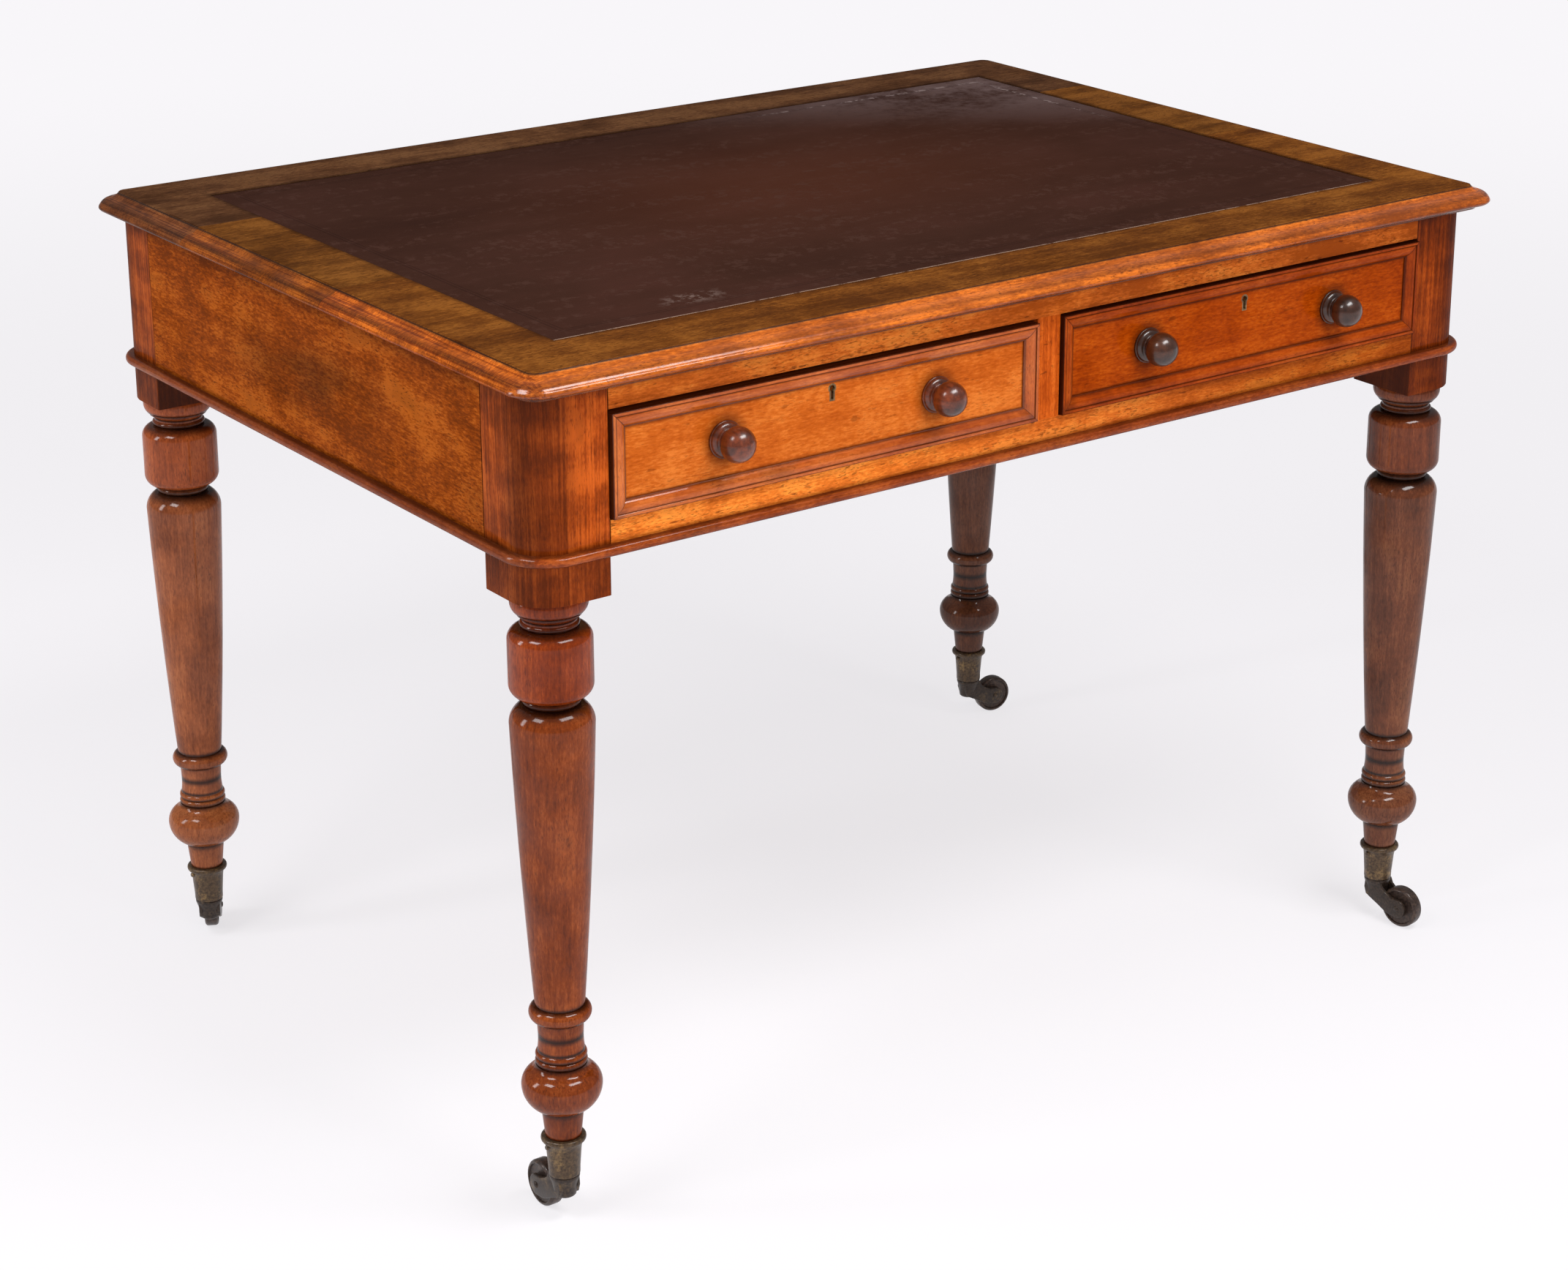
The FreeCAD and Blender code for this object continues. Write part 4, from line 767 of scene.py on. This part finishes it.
# The top: three mahogany boards, edge to edge, with a thumb moulding and a small bead worked on the edge.
# Their joints run left to right, and the front one shows on the right-hand border in the photograph.
TOP_LOW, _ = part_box("top_board_front")
_, TOP_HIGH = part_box("top_board_back")
TOP_MIDDLE = (TOP_LOW + TOP_HIGH) / 2
TOP_HALF = (TOP_HIGH - TOP_LOW) / 2
TOP_CORNER = 0.028
TOP_CORNER_STEPS = 18
BOARD_GAP = 0.00012
LEATHER_LOW, LEATHER_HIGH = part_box("leather_inset")
LEATHER_MIDDLE = (LEATHER_LOW + LEATHER_HIGH) / 2
LEATHER_HALF = (LEATHER_HIGH - LEATHER_LOW) / 2
LEATHER_RECESS = 0.002
# inset from the nose, height above the top's underside, and bow
TOP_EDGE_ROWS = [
    (24, 0, 0), (13.8, 0, 0), (13.4, 0.3, 0), (13.2, 1, -0.8), (13.2, 4.8, 0), (4.8, 4.8, 0),
    (4, 4.9, -0.26), (0, 7.8, 0), (0.05, 8.4, -0.12), (1.4, 10.9, -0.12), (5.1, 14.7, -0.08),
    (11.4, 16.7, 0.14), (18.4, 20.8, 0), (18.95, 21.3, -0.4), (19.6, 22, 0), (24, 22, 0),
]


def whole_top():
    """The three boards as one closed solid, with the recess for the leather."""
    work = bmesh.new()
    loops = []
    for inset, height in drawn(TOP_EDGE_ROWS, 10):
        ring = rounded_ring(TOP_MIDDLE, TOP_HALF.x - inset, TOP_HALF.y - inset, [TOP_CORNER - inset] * 4,
                            TOP_LOW.z + height, TOP_CORNER_STEPS)
        loops.append([work.verts.new(point) for point in ring])
    count = len(loops[0])
    for lower, upper in zip(loops, loops[1:]):
        for i in range(count):
            j = (i + 1) % count
            work.faces.new((lower[i], lower[j], upper[j], upper[i]))
    work.faces.new(loops[0])
    sides = {-1: LEATHER_LOW, 1: LEATHER_HIGH}
    recess = []
    for height in (TOP_HIGH.z, TOP_HIGH.z - LEATHER_RECESS):
        recess.append([work.verts.new((sides[x].x, sides[y].y, height)) for x, y in QUARTERS])
    per_corner = TOP_CORNER_STEPS + 1
    for corner in range(4):
        after = (corner + 1) % 4
        run = loops[-1][corner * per_corner:(corner + 1) * per_corner]
        for i, j in zip(run, run[1:]):
            work.faces.new((i, j, recess[0][corner]))
        work.faces.new((run[-1], loops[-1][after * per_corner], recess[0][after], recess[0][corner]))
        work.faces.new((recess[0][corner], recess[0][after], recess[1][after], recess[1][corner]))
    work.faces.new(recess[1])
    bmesh.ops.recalc_face_normals(work, faces=work.faces)
    return work


def sawn(work, low, high):
    """The part of a closed mesh from low to high along Y, closed again where it is cut."""
    piece = work.copy()
    for level, outward in ((low, -1), (high, 1)):
        cut = bmesh.ops.bisect_plane(piece, geom=piece.verts[:] + piece.edges[:] + piece.faces[:], dist=1e-6,
                                     plane_co=(0, level, 0), plane_no=(0, outward, 0), clear_outer=True)
        edges = [edge for edge in cut["geom_cut"] if isinstance(edge, bmesh.types.BMEdge)]
        if edges:
            bmesh.ops.triangle_fill(piece, edges=edges, use_beauty=True)
    return piece


def top_dirt_and_shade(finish, cloud):
    """Dark polish along the leather, and painted shade in the step below the flat field, in the groove above
    the nose and under the nose.
    """
    x, y, z = finish.parts()
    past_x = (x - LEATHER_MIDDLE.x).size() - LEATHER_HALF.x
    past_y = (y - LEATHER_MIDDLE.y).size() - LEATHER_HALF.y
    by_leather = past_x.most(past_y).ease(0.006, 0) * 0.5
    left_end = x.ease(TOP_LOW.x + 0.016, TOP_LOW.x + 0.006) * 0.25 + 0.5
    # step, nose and under are painted shade
    step = z.near(TOP_HIGH.z - 0.0011, 0.0006) * 0.85
    nose = z.near(TOP_LOW.z + 0.0142, 0.0028) * cloud.ease(0.2, 0.6) * left_end
    under = z.ease(TOP_LOW.z + 0.0065, TOP_LOW.z + 0.0048) * 0.6
    return by_leather.most(step, nose, under, cloud.ease(0.56, 0.82) * 0.4)


def edge_tone_and_light(factor):
    """The moulding is redder and lighter than the flat field, most on the front board, partly as the wood's
    tone and partly as painted light. The nose's underside has painted shade, the front arris a painted
    highlight, and the nose a pale painted sheen at the front left.
    """
    def recolor(finish, color, cloud):
        x, y, z = finish.parts()
        edge = finish.tinted(color, factor, z.ease(TOP_HIGH.z - 0.001, TOP_HIGH.z - 0.0028))
        # painted shade on the nose's underside
        edge = finish.tinted(edge, (0.7, 0.62, 0.5), z.ease(TOP_LOW.z + 0.0105, TOP_LOW.z + 0.0075))
        line = finish.noise(finish.place(), (500, 9, 900), 3, 0.6, (0, 2, 5)).ease(0.47, 0.6)
        ends = x.size().ease(TOP_HALF.x - 0.022, TOP_HALF.x - 0.019)
        edge = finish.tinted(edge, (0.55, 0.45, 0.35), line * ends)
        # a painted highlight along the front arris
        painted_arris_highlight = z.near(TOP_HIGH.z - 0.0021, 0.0007) * y.ease(0, -0.35)
        edge = finish.tinted(edge, (1.5, 1.6, 1.8), painted_arris_highlight * 0.6)
        # rubbed here is a painted sheen along the nose, strongest at the front left
        rubbed = z.near(TOP_LOW.z + 0.0098, 0.0022) * x.ease(0.35, -0.4) * y.ease(0, -0.35)
        return finish.tinted(edge, (1.2, 1.4, 1.8), rubbed * cloud.ease(0.75, 0.3))
    return recolor


def top_coat(finish):
    """The flat field is dull, and the moulding shines, most along the front."""
    x, y, z = finish.parts()
    front = y.ease(TOP_LOW.y + 0.03, TOP_LOW.y + 0.01) * 0.55 + 0.35
    return z.ease(TOP_HIGH.z - 0.0002, TOP_HIGH.z - 0.001) * front + 0.05


BOARD_TONES = {
    "front": paints((36, 16, 6), (76, 40, 13), (102, 57, 19), (130, 78, 29)),
    "middle": paints((34, 16, 7), (72, 40, 14), (99, 58, 21), (125, 77, 31)),
    "back": paints((32, 17, 10), (62, 37, 21), (84, 53, 32), (106, 71, 44)),
}
# how much redder and lighter each board's moulding is; the front's extra lightness is painted light on the
# front edge
EDGE_TONE_AND_LIGHT = {"front": (2.9, 2.0, 1.0), "middle": (1.9, 1.35, 0.7), "back": (1.7, 1.2, 0.7)}
top = whole_top()
for board, log in (("front", (0, 0, 0)), ("middle", (3.1, 0.37, 0.1)), ("back", (7.7, 0.11, 0.3))):
    low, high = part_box(f"top_board_{board}")
    piece = sawn(top, low.y + BOARD_GAP, high.y - BOARD_GAP)
    mesh = written(piece, bpy.data.meshes.new(f"top_{board}"))
    wood = mahogany(f"top_{board}_mahogany", BOARD_TONES[board], "X", log, top_dirt_and_shade,
                    edge_tone_and_light(EDGE_TONE_AND_LIGHT[board]), streak=0.5, mottle=1.2, fleck=0.8, pores=0.6,
                    coat=top_coat, coat_roughness=0.16)
    finished(mesh, [wood], "table", f"top_board_{board}", 25)
top.free()


# The leather: one dark hide let into the top and glued down, with a blind line tooled round its border and a
# pale line along the front edge. It is painted greyer at the far right, as a sheen of reflected light.
LEATHER_COLUMNS = 180
LEATHER_ROWS = 118
LEATHER_ROUND = 0.0005
LEATHER_WAVE = 0.00012
SCUFF = (-0.295, -0.25)


def leather_mesh():
    rows = []
    for row in range(LEATHER_ROWS + 1):
        line = []
        for column in range(LEATHER_COLUMNS + 1):
            share_x, share_y = column / LEATHER_COLUMNS, row / LEATHER_ROWS
            x = LEATHER_LOW.x + 2 * LEATHER_HALF.x * share_x
            y = LEATHER_LOW.y + 2 * LEATHER_HALF.y * share_y
            edge = min(share_x, 1 - share_x, share_y, 1 - share_y)
            lift = noise.noise(Vector((x * 9, y * 9, 0))) * LEATHER_WAVE if edge else -LEATHER_ROUND
            line.append((x, y, LEATHER_HIGH.z - LEATHER_WAVE + lift))
        rows.append(line)
    mesh = grid_mesh("leather", rows, closed=False)
    work = bmesh.new()
    work.from_mesh(mesh)
    rim = [edge for edge in work.edges if edge.is_boundary]
    walls = bmesh.ops.extrude_edge_only(work, edges=rim)["geom"]
    for vert in walls:
        if isinstance(vert, bmesh.types.BMVert):
            vert.co.z = LEATHER_LOW.z
    bottom = [edge for edge in work.edges if edge.is_boundary]
    bmesh.ops.edgeloop_fill(work, edges=bottom)
    return written(work, mesh)


def leather_finish():
    finish = Finish(bpy.data.materials.new("brown_leather"))
    place = finish.place()
    x, y, z = finish.parts()
    in_x = LEATHER_HALF.x - (x - LEATHER_MIDDLE.x).size()
    in_y = LEATHER_HALF.y - (y - LEATHER_MIDDLE.y).size()
    inside = in_x.least(in_y)
    from_front = y - LEATHER_LOW.y
    cloud = finish.noise(place, (5, 7, 5), 5, 0.62)
    smear = finish.noise(place, (5, 34, 5), 4, 0.65)
    patch = finish.noise(place, (2.1, 2.8, 2), 2, 0.5, (4, 1, 0))
    speck = finish.noise(place, (110, 110, 110), 3, 0.65)
    grain = finish.add("ShaderNodeTexVoronoi", {"feature": "DISTANCE_TO_EDGE"},
                       {"Vector": place, "Scale": 900.0})
    tone = cloud * 0.6 + smear * 0.1 + patch * 0.3
    color = finish.ramp(tone, [(0.3, paint(47, 28, 22)), (0.5, paint(56, 33, 25)), (0.7, paint(65, 37, 29))])
    middle = x.near(0.02, 0.42) * y.near(0.03, 0.28)
    corner = (x * 0.9 + y * 1.3).ease(0.38, 0.76)
    # the far right is painted greyer, a painted sheen of reflected light, and has more coat
    worn_and_sheen = corner * (cloud * 0.7 + speck * 0.3).ease(0.34, 0.58)
    line = inside.near(0.020, 0.0012).most(inside.near(0.0238, 0.0009))
    flaked = inside.near(0.0215, 0.004) * corner.ease(0.1, 0.5) * speck.ease(0.5, 0.6)
    pale_breaks = finish.noise(place, (60, 60, 60), 3, 0.7).ease(0.34, 0.5)
    pale = from_front.ease(0.0042, 0.0018) * pale_breaks
    shadow = inside.ease(0.0024, 0.0006) * from_front.ease(0.003, 0.005)
    scuff = x.near(SCUFF[0], 0.045) * y.near(SCUFF[1], 0.02) * speck.ease(0.46, 0.62)
    scratch = finish.noise(place, (24, 230, 24), 4, 0.7, (9, 3, 0)).ease(0.68, 0.8)
    for layer, share in (
        ((77, 40, 26), middle * 0.55),
        ((112, 92, 90), worn_and_sheen * 0.7),
        ((74, 50, 42), speck.ease(0.5, 0.62) * smear.ease(0.42, 0.6) * 0.45),
        ((30, 16, 13), line * 0.4),
        ((150, 132, 128), flaked * 0.6),
        ((176, 148, 130), pale * 0.9),
        ((24, 13, 10), shadow * 0.85),
        ((124, 104, 96), (scratch * 0.25).most(scuff * 0.7)),
    ):
        color = finish.mixed(color, paint(*layer), share)
    roughness = 0.46 + (smear - 0.5) * 0.3 + pale * 0.2
    height = grain.ease(0, 0.3) * 0.2 + speck * 0.3 + cloud * 1.2 - line * 0.9
    coat = cloud.ease(0.3, 0.7) * 0.04 + worn_and_sheen * 0.14 + 0.03
    return finish.surface(color, roughness, height, 0.00026, coat=coat, coat_roughness=0.32)


finished(leather_mesh(), [leather_finish()], "table", "leather_inset", 40)


# The castors: a cast brass cup on each foot, screwed on, with a horn that swivels under it and a wheel on
# an axle in the horn. They are nearly black with old dirt and show brass where they have rubbed.
# The outlines are in millimetres: this one's radius and height above the foot's end.
CUP_OUTLINE = [
    (13.1, -6.5), (13.4, -6.2), (13.5, -5.6), (13.6, 0), (15, 18), (16, 24.4), (16.4, 24.8),
    (17.2, 25), (18.3, 25.4), (19, 26.4), (19.2, 27.6), (19, 28.8), (18.3, 29.8), (17.2, 30.2),
    (16.6, 30.2), (15.1, 30.2), (15, 29.9), (11.2, 0.1), (4.1, 0), (4.1, -6.5),
]
# radius and distance along the axle, for the wheel and its pin
WHEEL_OUTLINE = [
    (3.1, -6.5), (6.4, -6.5), (7, -6.2), (7.2, -5), (15.8, -4.4), (16.6, -4.8), (17.2, -6.2),
    (18, -6.5), (19.2, -6), (20.2, -4.9), (20.5, -3.8), (20.5, 3.8), (20.2, 4.9), (19.2, 6),
    (18, 6.5), (17.2, 6.2), (16.6, 4.8), (15.8, 4.4), (7.2, 5), (7, 6.2), (6.4, 6.5), (3.1, 6.5),
]
PIN_OUTLINE = [(0.3, -11.6), (1.8, -11.4), (2.8, -10.8), (3, -10.2),
               (3, 10.2), (2.8, 10.8), (1.8, 11.4), (0.3, 11.6)]
# radius and height above the floor
NECK_OUTLINE = [
    (7.4, 23.6), (8.8, 23.8), (9.6, 24.6), (10, 27), (10.4, 31), (11, 35), (12.2, 39), (12.9, 41),
    (13.1, 42.6), (12.9, 43.6), (12.4, 44), (4, 44), (4, 60),
]
CHEEK_INNER = 7.0
CHEEK_OUTER = 10.2
WHEEL_LEVEL = 20.5
TRAIL = 31.0
BOSS = 9.6
BOSS_STEPS = 14


def cheek_outline():
    """A cheek's edge, in millimetres out along the trail and up: a strap from the neck to a round end."""
    points = [(-6, 43), (-8, 40), (-8.6, 33), (-6.5, 26), (0, 22.5), (8, 18.5),
              (15, 14.5), (21, 12)]
    for step in range(BOSS_STEPS + 1):
        angle = math.radians(-108 + 186 * step / BOSS_STEPS)
        points.append((TRAIL + BOSS * math.cos(angle), WHEEL_LEVEL + BOSS * math.sin(angle)))
    points += [(24, 30.6), (17, 33.5), (11.5, 38), (9.5, 43)]
    return points


def cheek_mesh(name, side, place):
    outline = cheek_outline()
    middle_x, middle_z = (sum(levels) / len(outline) for levels in zip(*outline))
    rings = []
    for depth, inset in ((CHEEK_INNER, 0), (CHEEK_OUTER - 0.9, 0), (CHEEK_OUTER - 0.2, 0.5),
                         (CHEEK_OUTER, 1.2)):
        ring = []
        for x, z in outline:
            share = 1 - inset / math.hypot(x - middle_x, z - middle_z)
            ring.append(place((middle_x + (x - middle_x) * share, side * depth,
                               middle_z + (z - middle_z) * share)))
        rings.append(ring)
    return grid_mesh(name, rings)


castor_brass = {}
for word, tones, roughness, spread in (
    ("cup", paints((56, 42, 30), (92, 72, 50), (158, 128, 84)), 0.42, 0.3),
    ("horn", paints((38, 29, 24), (62, 49, 40), (130, 106, 74)), 0.42, 0.34),
    ("wheel", paints((44, 34, 30), (76, 60, 52), (124, 102, 84)), 0.45, 0.34),
):
    castor_brass[word] = [old_brass(f"castor_{word}_brass", tones, roughness, spread, 0.2)]
for end, side in CORNERS:
    corner = f"{end}_{side}"
    axis_point = Vector((*LEG_FEET[end, side].xy, 0))
    wheel_low, wheel_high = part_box(f"castor_wheel_{corner}")
    toward = (wheel_low + wheel_high) / 2 - axis_point
    spin = Matrix.Rotation(math.atan2(toward.y, toward.x), 3, "Z")

    def under_leg(point):
        return tuple(axis_point + spin @ (Vector(point) * MM))

    cup = lathe(f"castor_cup_{corner}", CUP_OUTLINE, LEG_FEET[end, side])
    finished(cup, castor_brass["cup"], "table", f"castor_cup_{corner}", 50)
    across = spin @ Matrix.Rotation(math.pi / 2, 3, "X")
    hub = Vector(under_leg((TRAIL, 0, WHEEL_LEVEL)))
    parts = [lathe(f"neck_{corner}", NECK_OUTLINE, axis_point, steps=48),
             lathe(f"pin_{corner}", PIN_OUTLINE, hub, across, 32)]
    parts += [cheek_mesh(f"cheek_{corner}_{hand}", SIDES[hand], under_leg) for hand in SIDES]
    horn = joined(f"castor_horn_{corner}", parts)
    for face in horn.polygons:
        face.material_index = 0
    finished(horn, castor_brass["horn"], f"horn_{corner}", f"castor_horn_{corner}", 45)
    wheel = lathe(f"castor_wheel_{corner}", WHEEL_OUTLINE, hub, across, 72)
    finished(wheel, castor_brass["wheel"], f"wheel_{corner}", f"castor_wheel_{corner}", 40)
dress(castor_brass["cup"][0], "castor_screws")


# The studio: a pale floor that runs out past the view, a pale sky, and soft lamps above, in front and to the
# left. Gloss shows all of them but the front one.
FLOOR_REACH = 30.0
PALE = paint(251, 249, 252)
GLOW_NEAR = 0.72
GLOW_FAR = 0.96
GLOW_REACH = (0.8, 4.5)
SKY_LIGHT = 0.3
LAMP_AIM = Vector((0, 0, 0.55))


def seen_rays(finish, *kinds):
    """1 for what is seen by rays of these kinds, and 0 for light that falls on things."""
    share = finish.add("ShaderNodeLightPath", {}, {}, "Is Camera Ray")
    for kind in kinds:
        share = share.most(finish.add("ShaderNodeLightPath", {}, {}, f"Is {kind} Ray"))
    return share


floor_mesh = bpy.data.meshes.new("studio_floor")
floor_mesh.from_pydata([(x * FLOOR_REACH, y * FLOOR_REACH, 0) for x, y in QUARTERS], [], [(0, 1, 2, 3)])
floor = bpy.data.objects.new("studio_floor", floor_mesh)
scene.collection.objects.link(floor)
paper = Finish(bpy.data.materials.new("studio_floor"))
lit = paper.add("ShaderNodeBsdfDiffuse", {}, {"Color": PALE})
glow = paper.add("ShaderNodeEmission", {}, {"Color": PALE, "Strength": 1.0})
away = paper.add("ShaderNodeVectorMath", {"operation": "LENGTH"}, {0: paper.place()}, 1).ease(*GLOW_REACH)
glow_share = seen_rays(paper, "Glossy", "Transmission") * (away * (GLOW_FAR - GLOW_NEAR) + GLOW_NEAR)
both = paper.add("ShaderNodeMixShader", {}, {0: glow_share, 1: lit, 2: glow})
floor_mesh.materials.append(paper.end("ShaderNodeOutputMaterial", both))

scene.world = bpy.data.worlds.new("studio_sky")
sky = Finish(scene.world)
lit = sky.add("ShaderNodeBackground", {}, {"Color": PALE, "Strength": SKY_LIGHT})
glow = sky.add("ShaderNodeBackground", {}, {"Color": PALE, "Strength": 1.0})
both = sky.add("ShaderNodeMixShader", {}, {0: seen_rays(sky, "Transmission"), 1: lit, 2: glow})
sky.end("ShaderNodeOutputWorld", both)


def soft_lamp(name, place, width, height, power, in_gloss=True):
    data = bpy.data.lights.new(name, "AREA")
    data.shape = "RECTANGLE"
    data.size = width
    data.size_y = height
    data.energy = power
    lamp = bpy.data.objects.new(name, data)
    lamp.location = place
    lamp.visible_glossy = in_gloss
    lamp.rotation_euler = (LAMP_AIM - Vector(place)).to_track_quat("-Z", "Y").to_euler()
    scene.collection.objects.link(lamp)


soft_lamp("right_lamp", (0.3, -1.5, 2.65), 1.4, 0.6, 42)
soft_lamp("left_lamp", (-2.05, -0.35, 2.55), 1.0, 0.7, 30)
soft_lamp("side_lamp", (-2.4, 0.8, 1.3), 0.4, 1.1, 16)
soft_lamp("front_lamp", (-0.8, -3.4, 1.7), 3.0, 1.8, 52, False)


# The camera: a long lens that looks down on the table's front left corner.
CAMERA_PLACE = Vector((-1.7724, -2.4216, 1.4875))
CAMERA_AZIMUTH = math.radians(-37.15)
CAMERA_DROP = math.radians(18.64)
CAMERA_ROLL = math.radians(0.24)
PHOTO_WIDTH = 2144
PHOTO_MIDDLE = (1072, 868)
AXIS_PIXEL = (1169.34, 655.04)
FOCAL_PIXELS = 4530.9
SENSOR_WIDTH = 36.0
lens = bpy.data.cameras.new("camera")
lens.sensor_fit = "HORIZONTAL"
lens.sensor_width = SENSOR_WIDTH
lens.lens = FOCAL_PIXELS / PHOTO_WIDTH * SENSOR_WIDTH
lens.shift_x = (PHOTO_MIDDLE[0] - AXIS_PIXEL[0]) / PHOTO_WIDTH
lens.shift_y = (AXIS_PIXEL[1] - PHOTO_MIDDLE[1]) / PHOTO_WIDTH
camera = bpy.data.objects.new("camera", lens)
turn = (Matrix.Rotation(CAMERA_AZIMUTH, 4, "Z") @ Matrix.Rotation(math.pi / 2 - CAMERA_DROP, 4, "X")
        @ Matrix.Rotation(CAMERA_ROLL, 4, "Z"))
camera.matrix_world = Matrix.Translation(CAMERA_PLACE) @ turn
scene.collection.objects.link(camera)
scene.camera = camera
